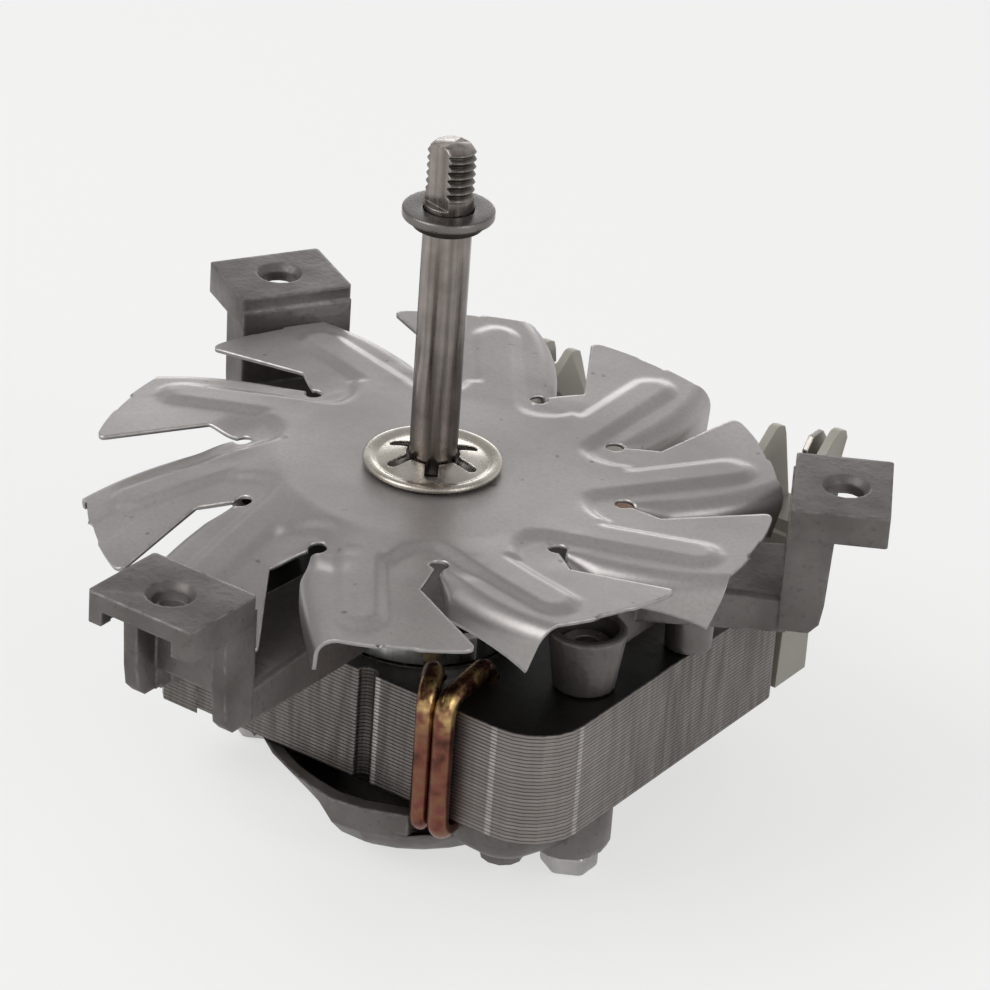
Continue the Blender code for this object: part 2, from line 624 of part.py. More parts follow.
def make_shaft_fittings(steel, dark_steel):
    """Washer and circlip under the fan, spacers, thrust washers, and the collar under the impeller."""
    bore = SHAFT_R + SEAT_GAP
    edge, low = WASHER_EDGE, WASHER_Z - WASHER_THICKNESS
    profile = [(bore, low), (WASHER_R - edge, low), (WASHER_R, low + edge), (WASHER_R, WASHER_Z - edge),
               (WASHER_R - edge, WASHER_Z), (bore, WASHER_Z)]
    turned("fan_washer", profile, steel)
    clip_top = WASHER_Z - WASHER_THICKNESS - SEAT_GAP
    start, end = -pi / 2 + CIRCLIP_GAP_ANGLE / 2, 3 * pi / 2 - CIRCLIP_GAP_ANGLE / 2
    inner_r = SHAFT_R - GROOVE_DEPTH + SEAT_GAP
    outline = arc((0, 0), CIRCLIP_R, start, end, CIRCLIP_STEPS)
    outline += arc((0, 0), inner_r, end, start, CIRCLIP_STEPS)
    prism("circlip", outline, clip_top - CIRCLIP_THICKNESS, clip_top, dark_steel)
    lower_thrust = LOWER_BUSH_Z + BUSH_HALF_HEIGHT + SEAT_GAP
    upper_thrust = UPPER_BUSH_Z - BUSH_HALF_HEIGHT - SEAT_GAP
    lower_end, upper_end = lower_thrust + THRUST_WASHER_THICKNESS, upper_thrust - THRUST_WASHER_THICKNESS
    washer("lower_thrust_washer", bore, THRUST_WASHER_R, lower_thrust, lower_end, dark_steel)
    washer("upper_thrust_washer", bore, THRUST_WASHER_R, upper_end, upper_thrust, dark_steel)
    washer("lower_spacer", bore, SPACER_R, lower_end + SEAT_GAP, STACK_Z0 - SEAT_GAP, steel)
    washer("upper_spacer", bore, SPACER_R, STACK_Z1 + SEAT_GAP, upper_end - SEAT_GAP, steel)
    top = IMPELLER_UNDERSIDE - SEAT_GAP
    profile = [(bore, top - COLLAR_HEIGHT), (COLLAR_R, top - COLLAR_HEIGHT), (COLLAR_R, top - COLLAR_FLANGE),
               (COLLAR_FLANGE_R, top - COLLAR_FLANGE), (COLLAR_FLANGE_R, top), (bore, top)]
    turned("impeller_collar", profile, steel)


def make_push_nut(steel):
    """Dished star washer over the impeller: a rolled rim, a crown and radial slots between its teeth."""
    seat = IMPELLER_TOPSIDE + SEAT_GAP
    inner, rim, sheet = SHAFT_R + SEAT_GAP, PUSH_NUT_R, PUSH_NUT_SHEET
    crown, rim_top, edge = seat + PUSH_NUT_CROWN, seat + PUSH_NUT_RIM, SMALL_EDGE
    rolled, shoulder, tooth = rim - PUSH_NUT_RIM_WIDTH, 0.5 * rim, crown + PUSH_NUT_TOOTH_RISE
    profile = [(rim - edge, seat), (rim, seat + edge), (rim, rim_top - edge), (rim - edge, rim_top),
               (rolled + 2 * edge, rim_top), (rolled, seat + sheet), (shoulder, crown), (inner, tooth),
               (inner, tooth - sheet), (shoulder, crown - sheet), (rolled, seat)]
    nut = turned("push_nut", profile, steel)
    slots = []
    for step in range(PUSH_NUT_SLOTS):
        half = PUSH_NUT_SLOT_WIDTH / 2
        spin = turn(2 * pi * step / PUSH_NUT_SLOTS - pi / 2)
        low, high = (PUSH_NUT_SLOT_IN - MM, -half, seat - MM), (PUSH_NUT_SLOT_OUT, half, crown + MM)
        slots.append(block(f"push_nut_slot_{step}", low, high, place=spin))
    combine(nut, "DIFFERENCE", *slots)


def smooth_step(value):
    """Ease from 0 to 1 as the value goes from 0 to 1."""
    value = np.clip(value, 0, 1)
    return value * value * (3 - 2 * value)


def fold_angle(radius):
    """Angle of a blade's folded edge, from its own slot end, as a spiral."""
    start = asin(SLOT_NECK / 2 / SLOT_NECK_R)
    return start + (FOLD_TIP_ANGLE - start) * (radius - SLOT_NECK_R) / (IMPELLER_R - SLOT_NECK_R)


def cut_edge():
    """Radius and angle of each station down the straight edge: round hole, neck, corner, straight cut."""
    side = asin(SLOT_HOLE_R / SLOT_END_R)
    neck = asin(SLOT_NECK / 2 / SLOT_NECK_R)
    stations = [(SLOT_END_R - SLOT_HOLE_R, 0.0), (SLOT_END_R, -side), (SLOT_NECK_R, -neck)]
    middle = (SLOT_NECK_R + CUT_CORNER_R) / 2
    stations.append((middle, (CUT_CORNER_ANGLE - neck) / 2))
    corner = Vector((CUT_CORNER_R * cos(CUT_CORNER_ANGLE), CUT_CORNER_R * sin(CUT_CORNER_ANGLE)))
    tip = Vector((IMPELLER_R * cos(CUT_TIP_ANGLE), IMPELLER_R * sin(CUT_TIP_ANGLE)))
    for step in range(BLADE_ROWS + 1):
        spot = corner.lerp(tip, step / BLADE_ROWS)
        stations.append((spot.length, atan2(spot.y, spot.x)))
    return stations


def emboss(x, y):
    """Height of the raised star: a disc notched in an arc round each slot end, and a rib on each blade."""
    radius = np.hypot(x, y)
    pitch = 2 * pi / BLADES
    angle = np.mod(np.arctan2(y, x), pitch)
    from_slot = np.minimum(np.abs(angle), np.abs(angle - pitch))
    slot_distance = np.hypot(radius * np.cos(from_slot) - SLOT_END_R, radius * np.sin(from_slot))
    disc = smooth_step((slot_distance - STAR_ARC_R) / EMBOSS_SLOPE)
    disc = disc * smooth_step((SLOT_END_R - radius) / EMBOSS_SLOPE)
    along = radius * np.cos(angle - RIB_ANGLE)
    across = radius * np.sin(angle - RIB_ANGLE)
    past_end = np.maximum(along - (RIB_END_R - RIB_HALF_WIDTH), 0)
    rib_distance = np.hypot(across, past_end)
    rib = smooth_step((RIB_HALF_WIDTH + EMBOSS_SLOPE - rib_distance) / EMBOSS_SLOPE)
    rib = rib * (along > SLOT_END_R / 2)
    return EMBOSS_HEIGHT * np.maximum(disc, rib)


def blade_row(radius, start, end):
    """Angles across a blade: its two edges, and the foot and shoulder of the rib on each side."""
    foot, shoulder = (RIB_HALF_WIDTH + EMBOSS_SLOPE) / radius, RIB_HALF_WIDTH / radius
    foot = min(foot, (RIB_ANGLE - start) * 0.75, (end - RIB_ANGLE) * 0.6)
    shoulder = min(shoulder, foot * 0.7)
    return [start, RIB_ANGLE - foot, RIB_ANGLE - shoulder, RIB_ANGLE + shoulder, RIB_ANGLE + foot, end]


def flange_points(station, radius, depth, last_station):
    """Three points down the flange, which bends over a soft radius and then runs straight."""
    rolled = depth * FLANGE_BEND_SHARE
    bend_r = rolled / FLANGE_ANGLE
    points = []
    for travel in (rolled / 2, rolled, depth):
        lean = FLANGE_LEAN * travel * (station / last_station) ** 2
        here = radius - lean
        angle = fold_angle(here)
        base = Vector((here * cos(angle), here * sin(angle)))
        beyond = here + MM
        ahead = Vector((beyond * cos(fold_angle(beyond)), beyond * sin(fold_angle(beyond))))
        heading = (ahead - base).normalized()
        outward = Vector((heading.y, -heading.x))
        bent = min(travel / bend_r, FLANGE_ANGLE)
        straight = max(travel - rolled, 0)
        out = bend_r * sin(bent) + straight * cos(FLANGE_ANGLE)
        down = bend_r * (1 - cos(bent)) + straight * sin(FLANGE_ANGLE)
        spot = base + outward * out
        points.append((spot.x, spot.y, -down))
    return points


def make_impeller(steel):
    """Pressed disc: a raised star, ten slots with round ends, and blades whose curved edge is folded down."""
    pitch = 2 * pi / BLADES
    cut = cut_edge()
    inner_radii = [SHAFT_R + SEAT_GAP, PUSH_NUT_R + MM, STAR_ROW_R]
    neck_row = 2
    bm = bmesh.new()
    for blade in range(BLADES):
        spin = turn(IMPELLER_PHASE + blade * pitch)
        rows = []
        for radius in inner_radii:
            rows.append([(radius, angle) for angle in blade_row(SLOT_END_R, 0.0, pitch)])
        for station, (radius, cut_angle) in enumerate(cut):
            side = asin(SLOT_HOLE_R / SLOT_END_R) if station == 1 else 0.0
            start = side if station < neck_row else fold_angle(radius)
            rows.append([(radius, angle) for angle in blade_row(radius, start, pitch + cut_angle)])
        spots = np.array([[(r * cos(a), r * sin(a)) for r, a in row] for row in rows])
        heights = emboss(spots[..., 0], spots[..., 1])
        grid = [[bm.verts.new(spin @ Vector((x, y, IMPELLER_Z + z))) for (x, y), z in zip(row, height)]
                for row, height in zip(spots, heights)]
        first = len(inner_radii) + neck_row
        last_station = len(cut) - 1 - neck_row
        for station, (radius, cut_angle) in enumerate(cut[neck_row:]):
            depth = radius * (fold_angle(radius) - cut_angle)
            row = flange_points(station, radius, depth, last_station)
            verts = [bm.verts.new(spin @ Vector((x, y, IMPELLER_Z + z))) for x, y, z in row]
            grid[first + station] = verts[::-1] + grid[first + station]
        fill_rows(bm, grid)
    bmesh.ops.remove_doubles(bm, verts=bm.verts, dist=1e-6)
    impeller = add_object("cooling_impeller", bm, steel)
    wall = impeller.modifiers.new("sheet", "SOLIDIFY")
    wall.thickness = IMPELLER_SHEET
    wall.offset = 0
    return impeller


def fill_rows(bm, grid):
    """Faces between neighbouring rows, lined up at their last points."""
    for lower, upper in zip(grid, grid[1:]):
        count = min(len(lower), len(upper))
        low, high = lower[-count:], upper[-count:]
        for index in range(count - 1):
            bm.faces.new((low[index], high[index], high[index + 1], low[index + 1]))


def make_bearing(name, centre, inward, bronze, felt, steel):
    """Self-aligning bush, its oil felt, and the fingered spring washer that holds it from the rotor side."""
    bore = SHAFT_R + RUNNING_GAP
    swell = asin(BUSH_HALF_HEIGHT / BUSH_SPHERE_R)
    dome = [(r, centre + z) for r, z in arc((0, 0), BUSH_SPHERE_R, -swell, swell, 4)]
    section = [(bore, centre - BUSH_HALF_HEIGHT), *dome, (bore, centre + BUSH_HALF_HEIGHT)]
    turned(f"{name}_bush", section, bronze)
    outer = POCKET_R - SEAT_GAP
    low, high = centre - FELT_HALF_HEIGHT, centre + FELT_HALF_HEIGHT
    washer(f"{name}_oil_felt", BUSH_SPHERE_R + SEAT_GAP, outer, low, high, felt)
    near = centre + inward * (BUSH_HALF_HEIGHT + SEAT_GAP)
    far = near + inward * RETAINER_THICKNESS
    finger = pi / RETAINER_FINGERS
    loop = []
    for step in range(RETAINER_FINGERS):
        start = 2 * finger * step
        loop += arc((0, 0), RETAINER_BORE_R, start, start + finger, 3)
        loop += arc((0, 0), RETAINER_BORE_R + RETAINER_CUT, start + finger * 1.15, start + finger * 1.85, 2)
    plate = circle(outer, RETAINER_SIDES)
    prism(f"{name}_retainer", plate, min(near, far), max(near, far), steel, [loop])


def make_lug(number, angle):
    """Lug plate with a lip round its outer edges, and the open U-shaped leg below it."""
    place = turn(angle)
    half, leg_half = LUG_HALF_WIDTH, LUG_HALF_WIDTH - LEG_INSET
    lip_z, below = LUG_Z - LUG_LIP_DEPTH, LUG_Z - LUG_LIP_DEPTH - MM
    outline = box_outline(LUG_INNER_R, LUG_OUTER_R, -half, half, LUG_CORNER_R)
    plate = prism(f"lug_plate_{number}", outline, lip_z, LUG_Z, place=place)
    under = block(f"lug_under_{number}", (LEG_INNER_R - MM, -half + LUG_LIP, below),
                  (LUG_OUTER_R - LUG_LIP, half - LUG_LIP, LUG_Z - LUG_PLATE), place=place)
    drill = [(0, below), (LUG_HOLE_R, below), (LUG_HOLE_R, LUG_Z - (LUG_COUNTERSINK_R - LUG_HOLE_R)),
             (LUG_COUNTERSINK_R + MM, LUG_Z + MM), (0, LUG_Z + MM)]
    hole = turned(f"lug_hole_{number}", drill, sides=LUG_HOLE_SIDES, place=place @ shift(LUG_HOLE_PITCH_R))
    combine(plate, "DIFFERENCE", under, hole)
    inner, outer, wall = LEG_INNER_R, LEG_OUTER_R, LEG_WALL
    back, cheek = inner + wall, leg_half - wall
    channel = [(inner, -leg_half), (outer, -leg_half), (outer, -cheek), (back, -cheek), (back, cheek),
               (outer, cheek), (outer, leg_half), (inner, leg_half)]
    foot = STACK_Z1 + LEG_FOOT_RISE
    levels = [(foot + rise, tuck) for rise, tuck in LEG_TUCKS] + [(LUG_Z - LUG_PLATE + SMALL_EDGE, 0.0)]
    rings = [[(outer - tuck if x == outer else x, y, level) for x, y in channel] for level, tuck in levels]
    leg = loft(f"leg_{number}", rings, place=place)
    return [plate, leg]


def make_arm(number, angle):
    """Cast arm from the hub to a leg: a channel open underneath, widening and rising outwards."""
    root_half, tip_half = ARM_ROOT_HALF_WIDTH, LUG_HALF_WIDTH - SMALL_EDGE
    top, wall, edge = STACK_Z1 + ARM_TOP_RISE, ARM_WALL, EDGE_BREAK
    rings = []
    for reach in (ARM_ROOT_R, ARM_LEVEL_R, ARM_MIDDLE_R, LEG_INNER_R + LEG_WALL / 2):
        share = (reach - ARM_ROOT_R) / (LEG_INNER_R - ARM_ROOT_R)
        half = root_half + (tip_half - root_half) * min(1.0, share ** ARM_SPREAD)
        climb = max(0.0, (reach - ARM_LEVEL_R) / (LEG_INNER_R - ARM_LEVEL_R))
        low = STACK_Z1 + ARM_ROOT_FOOT_RISE + (ARM_TIP_FOOT_RISE - ARM_ROOT_FOOT_RISE) * climb
        web = half - wall
        section = [(-half, low), (-half, top - edge), (edge - half, top), (half - edge, top),
                   (half, top - edge), (half, low), (web, low), (web, top - wall), (-web, top - wall),
                   (-web, low)]
        rings.append([(reach, y, z) for y, z in section])
    return loft(f"arm_{number}", rings, place=turn(angle))


def make_post(side):
    """Open cup post for a clamp screw, its web to the arm behind it, and the arm's foot on the stack."""
    base, top = STACK_Z1 + SEAT_GAP, STACK_Z1 + POST_TOP_RISE
    cup_z, edge, x = base + POST_FLOOR, SMALL_EDGE, side * CLAMP_X
    profile = [(SCREW_HOLE_R, base), (POST_BASE_R, base), (POST_TOP_R, top - edge), (POST_TOP_R - edge, top),
               (POST_CUP_R, top), (POST_CUP_R - CUP_DRAFT, cup_z), (SCREW_HOLE_R, cup_z)]
    post = turned(f"post_{side}", profile, sides=POST_SIDES, place=shift(x))
    arm_y, arm_top = CLAMP_X * tan(ARM_ANGLE), STACK_Z1 + ARM_TOP_RISE
    web = block(f"post_web_{side}", (x - POST_WEB / 2, POST_CUP_R + CUP_DRAFT, STACK_Z1 + POST_WEB_FOOT_RISE),
                (x + POST_WEB / 2, arm_y, arm_top - POST_WEB_TOP_DROP))
    column = [(0, base), (ARM_FOOT_R, base), (ARM_FOOT_R * ARM_FOOT_FLARE, arm_top - MM), (0, arm_top - MM)]
    place = shift(side * ARM_FOOT_PITCH_R * cos(ARM_ANGLE), ARM_FOOT_PITCH_R * sin(ARM_ANGLE))
    foot = turned(f"arm_foot_{side}", column, sides=POST_SIDES, place=place)
    return [post, web, foot]


def make_upper_bracket(cast):
    """One casting: bearing hub, three arms, three legs with lugs, and two cup posts."""
    low, high = STACK_Z1 + UPPER_HUB_FOOT, STACK_Z1 + UPPER_HUB_FOOT + UPPER_HUB_HEIGHT
    shoulder, roof = UPPER_HUB_R - EDGE_BREAK, high - UPPER_HUB_ROOF
    profile = [(POCKET_R, low), (UPPER_HUB_R, low), (shoulder, high - MM), (shoulder - MM, high),
               (SHAFT_HOLE_R, high), (SHAFT_HOLE_R, roof), (POCKET_R, roof)]
    hub = turned("upper_bracket", profile, cast, UPPER_HUB_SIDES)
    parts = []
    for number, angle in enumerate(LUG_ANGLES):
        parts += [make_arm(number, angle), *make_lug(number, angle)]
    for side in (-1, 1):
        parts += make_post(side)
    combine(hub, "UNION", *parts)


def make_lower_bracket(cast):
    """One casting: a bowl with the lower bearing pocket, and a bridge to the clamp boss on each side."""
    rim = STACK_Z0 - BOWL_RIM_GAP
    inner = BOWL_R - BOWL_WALL
    cup = POCKET_R + LOWER_POCKET_WALL
    inside = [(radius - 0.85 * BOWL_WALL, z + 0.6 * BOWL_WALL) for radius, z in reversed(BOWL_CURVE)]
    profile = [(0, 0), (HUB_FLAT_R, 0), *BOWL_CURVE, (BOWL_R, BOWL_SHOULDER_Z), (BOWL_R, rim), (inner, rim),
               (inner, BOWL_SHOULDER_Z + SMALL_EDGE), *inside, (cup, inside[-1][1]), (cup, LOWER_POCKET_TOP),
               (POCKET_R, LOWER_POCKET_TOP), (POCKET_R, HUB_FLOOR), (0, HUB_FLOOR)]
    bowl = turned("lower_bracket", profile, cast, BOWL_SIDES)
    seat = STACK_Z0 - SEAT_GAP
    adds, holes, notches = [], [], []
    for side in (-1, 1):
        near, far, tip = inner + BRIDGE_ROOT, CLAMP_X + BRIDGE_PAST_SCREW, BOSS_R - BRIDGE_TIP_INSET
        plan = [(near, -BRIDGE_HALF_WIDTH), (far, -tip), (far, tip), (near, BRIDGE_HALF_WIDTH)]
        spin = turn(0 if side == 1 else pi)
        adds.append(prism(f"bridge_{side}", plan, BRIDGE_FOOT_Z, seat, place=spin))
        low, curve = BOSS_FOOT_Z, BOSS_ROUND
        rounded = arc((BOSS_R - curve, low + curve), curve, -pi / 2, 0, 2)
        boss = [(0, low), *rounded, (BOSS_R, seat), (0, seat)]
        adds.append(turned(f"boss_{side}", boss, sides=BOSS_SIDES, place=spin @ shift(CLAMP_X)))
        pip = [(0, PIP_FOOT_Z), (PIP_R - PIP_CHAMFER, PIP_FOOT_Z), (PIP_R, PIP_FOOT_Z + PIP_CHAMFER),
               (PIP_R, PIP_TOP_Z), (0, PIP_TOP_Z)]
        adds.append(turned(f"pip_{side}", pip, sides=PIP_SIDES, place=spin @ shift(PIP_X, PIP_Y)))
        hole = [(0, low - MM), (SCREW_HOLE_R, low - MM), (SCREW_HOLE_R, seat + MM), (0, seat + MM)]
        holes.append(turned(f"clamp_hole_{side}", hole, sides=CLAMP_HOLE_SIDES, place=spin @ shift(CLAMP_X)))
        room = RING_WIRE_R + RING_NOTCH_CLEARANCE
        notch_z = STACK_Z0 - SEAT_GAP - 2 * RING_WIRE_R - RING_NOTCH_CLEARANCE
        notch_low = (RING_OUTER_X[0] - room - MM, -BOWL_R - 2 * MM, notch_z)
        notch_high = (RING_OUTER_X[1] + room, RING_NOTCH_BACK, STACK_Z0 + MM)
        notches.append(block(f"ring_notch_{side}", notch_low, notch_high, place=spin))
    combine(bowl, "DIFFERENCE", *notches)
    combine(bowl, "UNION", *adds)
    combine(bowl, "DIFFERENCE", *holes)


def make_clamps(steel):
    """Screws with their heads down in the cup posts, and the nuts under the lower bosses."""
    head_z = STACK_Z1 + SEAT_GAP + POST_FLOOR + SEAT_GAP
    top = head_z + SCREW_HEAD
    nut_top = BOSS_FOOT_Z - SEAT_GAP
    for side, x in (("left", -CLAMP_X), ("right", CLAMP_X)):
        end = nut_top - NUT_HEIGHT
        socket_z = top - SCREW_SOCKET_DEPTH
        profile = [(0, socket_z), (SCREW_SOCKET_R, socket_z), (SCREW_SOCKET_R, top),
                   (SCREW_HEAD_R - SMALL_EDGE, top), (SCREW_HEAD_R, top - SMALL_EDGE), (SCREW_HEAD_R, head_z),
                   (SCREW_R, head_z), (SCREW_R, end + SMALL_EDGE), (SCREW_R - SMALL_EDGE, end), (0, end)]
        turned(f"clamp_screw_{side}", profile, steel, SCREW_SIDES, shift(x))
        hexagon = circle(NUT_FLATS / 2 / cos(pi / 6), 6, (x, 0), pi / 6)
        thread = circle(SCREW_R + SEAT_GAP, SCREW_SIDES, (x, 0), pi / SCREW_SIDES)
        prism(f"clamp_nut_{side}", hexagon, end, nut_top, steel, [thread])


def build():
    """Make every piece of the motor."""
    clear_scene()
    lamination = material("lamination_steel", (0.20, 0.19, 0.17), 0.5, 0.9)
    aluminium = material("cast_aluminium", (0.36, 0.35, 0.34), 0.55, 0.9)
    bright_aluminium = material("cage_aluminium", (0.70, 0.70, 0.69), 0.35, 1.0)
    pressed = material("impeller_steel", (0.46, 0.45, 0.44), 0.42, 0.9)
    ground = material("shaft_steel", (0.42, 0.38, 0.35), 0.28, 1.0)
    zinc = material("zinc_plated_steel", (0.62, 0.61, 0.58), 0.35, 1.0)
    dark = material("spring_steel", (0.12, 0.11, 0.11), 0.45, 0.9)
    copper = material("shading_copper", (0.55, 0.25, 0.14), 0.35, 1.0)
    nylon = material("bobbin_nylon", (0.72, 0.70, 0.60), 0.45, 0.0)
    enamel = material("enamelled_wire", (0.45, 0.20, 0.08), 0.35, 0.6)
    brass = material("terminal_brass", (0.70, 0.58, 0.30), 0.35, 1.0)
    bronze = material("bush_bronze", (0.50, 0.36, 0.20), 0.50, 0.9)
    felt = material("oil_felt", (0.30, 0.26, 0.20), 0.95, 0.0)
    make_stack(lamination)
    make_core_bar(lamination)
    make_shading_rings(copper)
    make_terminals(brass, make_coil(nylon, enamel))
    make_lower_bracket(aluminium)
    make_upper_bracket(aluminium)
    make_bearing("lower", LOWER_BUSH_Z, 1, bronze, felt, dark)
    make_bearing("upper", UPPER_BUSH_Z, -1, bronze, felt, dark)
    make_clamps(zinc)
    make_rotor(lamination, bright_aluminium)
    make_shaft(ground)
    make_shaft_fittings(zinc, dark)
    make_impeller(pressed)
    make_push_nut(zinc)


build()
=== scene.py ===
"""Looks of the oven fan motor: castings, sheet stack, copper rings, coil, impeller and threaded shaft.

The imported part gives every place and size. Lengths are in metres, worked out from the frame's own boxes.
"""

import json
from math import pi, radians

import bmesh
import bpy
import numpy as np
from mathutils import Matrix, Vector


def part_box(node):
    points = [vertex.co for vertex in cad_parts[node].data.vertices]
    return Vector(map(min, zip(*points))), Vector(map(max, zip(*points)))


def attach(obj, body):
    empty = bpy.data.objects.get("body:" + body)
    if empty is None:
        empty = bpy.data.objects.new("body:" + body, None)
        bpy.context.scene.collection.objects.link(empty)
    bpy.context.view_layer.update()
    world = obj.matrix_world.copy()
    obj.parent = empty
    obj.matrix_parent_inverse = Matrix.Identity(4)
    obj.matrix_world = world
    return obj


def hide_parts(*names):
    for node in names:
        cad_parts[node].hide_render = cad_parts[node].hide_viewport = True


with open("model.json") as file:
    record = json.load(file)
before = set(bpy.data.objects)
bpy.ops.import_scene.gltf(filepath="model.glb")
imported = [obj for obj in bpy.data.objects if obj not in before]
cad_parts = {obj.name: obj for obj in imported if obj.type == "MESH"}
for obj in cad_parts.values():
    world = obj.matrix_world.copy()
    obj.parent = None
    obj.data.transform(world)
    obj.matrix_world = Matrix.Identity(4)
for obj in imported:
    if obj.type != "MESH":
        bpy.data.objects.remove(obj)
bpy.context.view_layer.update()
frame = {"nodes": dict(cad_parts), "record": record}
MM = 0.001


# The stator stack is the motor's body: thin electrical sheets, sheared in a press and riveted into a block.
# Its sheared edges show as fine lines. Its faces keep a thin dark varnish, which wears off at the corners,
# and the lighter corners are partly a painted highlight.
# The left front corner is a sharp one of its own that reaches a little lower.

def start_material(name, roughness=0.5, metallic=0.0):
    """Material with a Principled shader, its node tree, and its object's coordinates for patterns."""
    made = bpy.data.materials.new(name)
    made.use_nodes = True
    tree = made.node_tree
    tree.nodes["Principled BSDF"].inputs["Roughness"].default_value = roughness
    tree.nodes["Principled BSDF"].inputs["Metallic"].default_value = metallic
    return made, tree, tree.nodes.new("ShaderNodeTexCoord").outputs["Object"]


def finish_material(made, colour, roughness=None, normal=None):
    """Joins a material's colour, and its roughness and normal where given, to its Principled shader."""
    inputs = made.node_tree.nodes["Principled BSDF"].inputs
    for name, source in (("Base Color", colour), ("Roughness", roughness), ("Normal", normal)):
        if source is not None:
            made.node_tree.links.new(source, inputs[name])
    return made


def set_socket(tree, socket, value):
    """Joins a socket to another one, or sets it to a plain value."""
    if isinstance(value, bpy.types.NodeSocket):
        tree.links.new(value, socket)
    else:
        socket.default_value = value


def add_node(tree, kind, settings=None, **inputs):
    """Node of a kind, with its settings and its inputs, by name or as i0, i1 and so on."""
    made = tree.nodes.new(kind)
    for name, value in (settings or {}).items():
        setattr(made, name, value)
    for name, value in inputs.items():
        numbered = name[0] == "i" and name[1:].isdigit()
        set_socket(tree, made.inputs[int(name[1:]) if numbered else name], value)
    return made


def sum_node(tree, operation, first, second=0.0):
    """One sum on two values."""
    return add_node(tree, "ShaderNodeMath", {"operation": operation}, i0=first, i1=second).outputs[0]


def times(tree, first, second):
    """Product of two values."""
    return sum_node(tree, "MULTIPLY", first, second)


def axes_of(tree, place):
    """X, Y and Z of a place, by name."""
    return add_node(tree, "ShaderNodeSeparateXYZ", Vector=place).outputs


def noise(tree, place, scale, detail=3.0, stretch=(1.0, 1.0, 1.0)):
    """Cloudy value from 0 to 1, with features 1/scale metres across, drawn out by a small stretch."""
    moved = add_node(tree, "ShaderNodeMapping", Vector=place, Scale=stretch).outputs[0]
    return add_node(tree, "ShaderNodeTexNoise", Vector=moved, Scale=scale, Detail=detail).outputs["Fac"]


def remap(tree, value, low, high, to_low=0.0, to_high=1.0):
    """Value stretched from one range to another, and held inside it."""
    return add_node(tree, "ShaderNodeMapRange", i0=value, i1=low, i2=high, i3=to_low, i4=to_high).outputs[0]


def near(tree, value, place, reach):
    """Mask that is 1 where a value lies at a place and fades to 0 at its reach."""
    apart = sum_node(tree, "ABSOLUTE", sum_node(tree, "SUBTRACT", value, place))
    return remap(tree, apart, 0.5 * reach, reach, 1.0, 0.0)


def blend(tree, share, first, second):
    """Colour between two, by a share from 0 to 1."""
    made = add_node(tree, "ShaderNodeMix", {"data_type": "RGBA"}, i0=share)
    for socket, value in ((made.inputs[6], first), (made.inputs[7], second)):
        set_socket(tree, socket, value if isinstance(value, bpy.types.NodeSocket) else (*value, 1.0))
    return made.outputs[2]


def bump(tree, height, strength, distance, normal=None):
    """Normal tilted by a height pattern, on top of another normal where one is given."""
    made = add_node(tree, "ShaderNodeBump", Strength=strength, Distance=distance, Height=height)
    if normal is not None:
        tree.links.new(normal, made.inputs["Normal"])
    return made.outputs[0]


def new_group(name, inputs, outputs):
    """Shader node group with named sockets. Returns it, its input sockets and its output sockets."""
    made = bpy.data.node_groups.new(name, "ShaderNodeTree")
    for sockets, way in ((inputs, "INPUT"), (outputs, "OUTPUT")):
        for label, kind in sockets.items():
            made.interface.new_socket(label, in_out=way, socket_type="NodeSocket" + kind)
    return made, made.nodes.new("NodeGroupInput").outputs, made.nodes.new("NodeGroupOutput").inputs


def use_group(tree, group, **inputs):
    """Places a group in a material, with its inputs by name."""
    made = tree.nodes.new("ShaderNodeGroup")
    made.node_tree = group
    for name, value in inputs.items():
        set_socket(tree, made.inputs[name], value)
    return made.outputs


def worn_and_lit_edge_group():
    """Mask of corners: how far a normal rounded over a radius turns from the flat one, broken up by noise.
    Where it lightens a colour, it stands for rubbed wear and a painted highlight on the edges.
    """
    tree, given, out = new_group("worn_and_lit_edges", {"Place": "Vector", "Radius": "Float"},
                                 {"Mask": "Float", "Normal": "Vector"})
    rounded = add_node(tree, "ShaderNodeBevel", {"samples": 4}, Radius=given["Radius"]).outputs[0]
    flat = tree.nodes.new("ShaderNodeNewGeometry").outputs["True Normal"]
    likeness = add_node(tree, "ShaderNodeVectorMath", {"operation": "DOT_PRODUCT"}, i0=rounded, i1=flat)
    turned_away = remap(tree, likeness.outputs["Value"], 0.99, 0.80)
    broken = remap(tree, noise(tree, given["Place"], 700.0, 4.0), 0.35, 0.60)
    tree.links.new(times(tree, turned_away, broken), out["Mask"])
    tree.links.new(rounded, out["Normal"])
    return tree


def sheet_group():
    """Lines between pressed sheets: the height over the stack's foot, folded by a sheet's thickness.

    Each sheet also has a shade of its own, drawn from its number.
    """
    tree, given, out = new_group("sheet_lines", {"Place": "Vector", "Foot": "Float", "Sheet": "Float"},
                                 {"Gap": "Float", "Shade": "Float"})
    over_foot = sum_node(tree, "SUBTRACT", axes_of(tree, given["Place"])["Z"], given["Foot"])
    count = sum_node(tree, "DIVIDE", over_foot, given["Sheet"])
    across = sum_node(tree, "ABSOLUTE", sum_node(tree, "SUBTRACT", sum_node(tree, "FRACT", count), 0.5))
    tree.links.new(remap(tree, across, 0.30, 0.48), out["Gap"])
    number = sum_node(tree, "FLOOR", count)
    shade = add_node(tree, "ShaderNodeTexWhiteNoise", {"noise_dimensions": "1D"}, W=number).outputs["Value"]
    tree.links.new(shade, out["Shade"])
    return tree


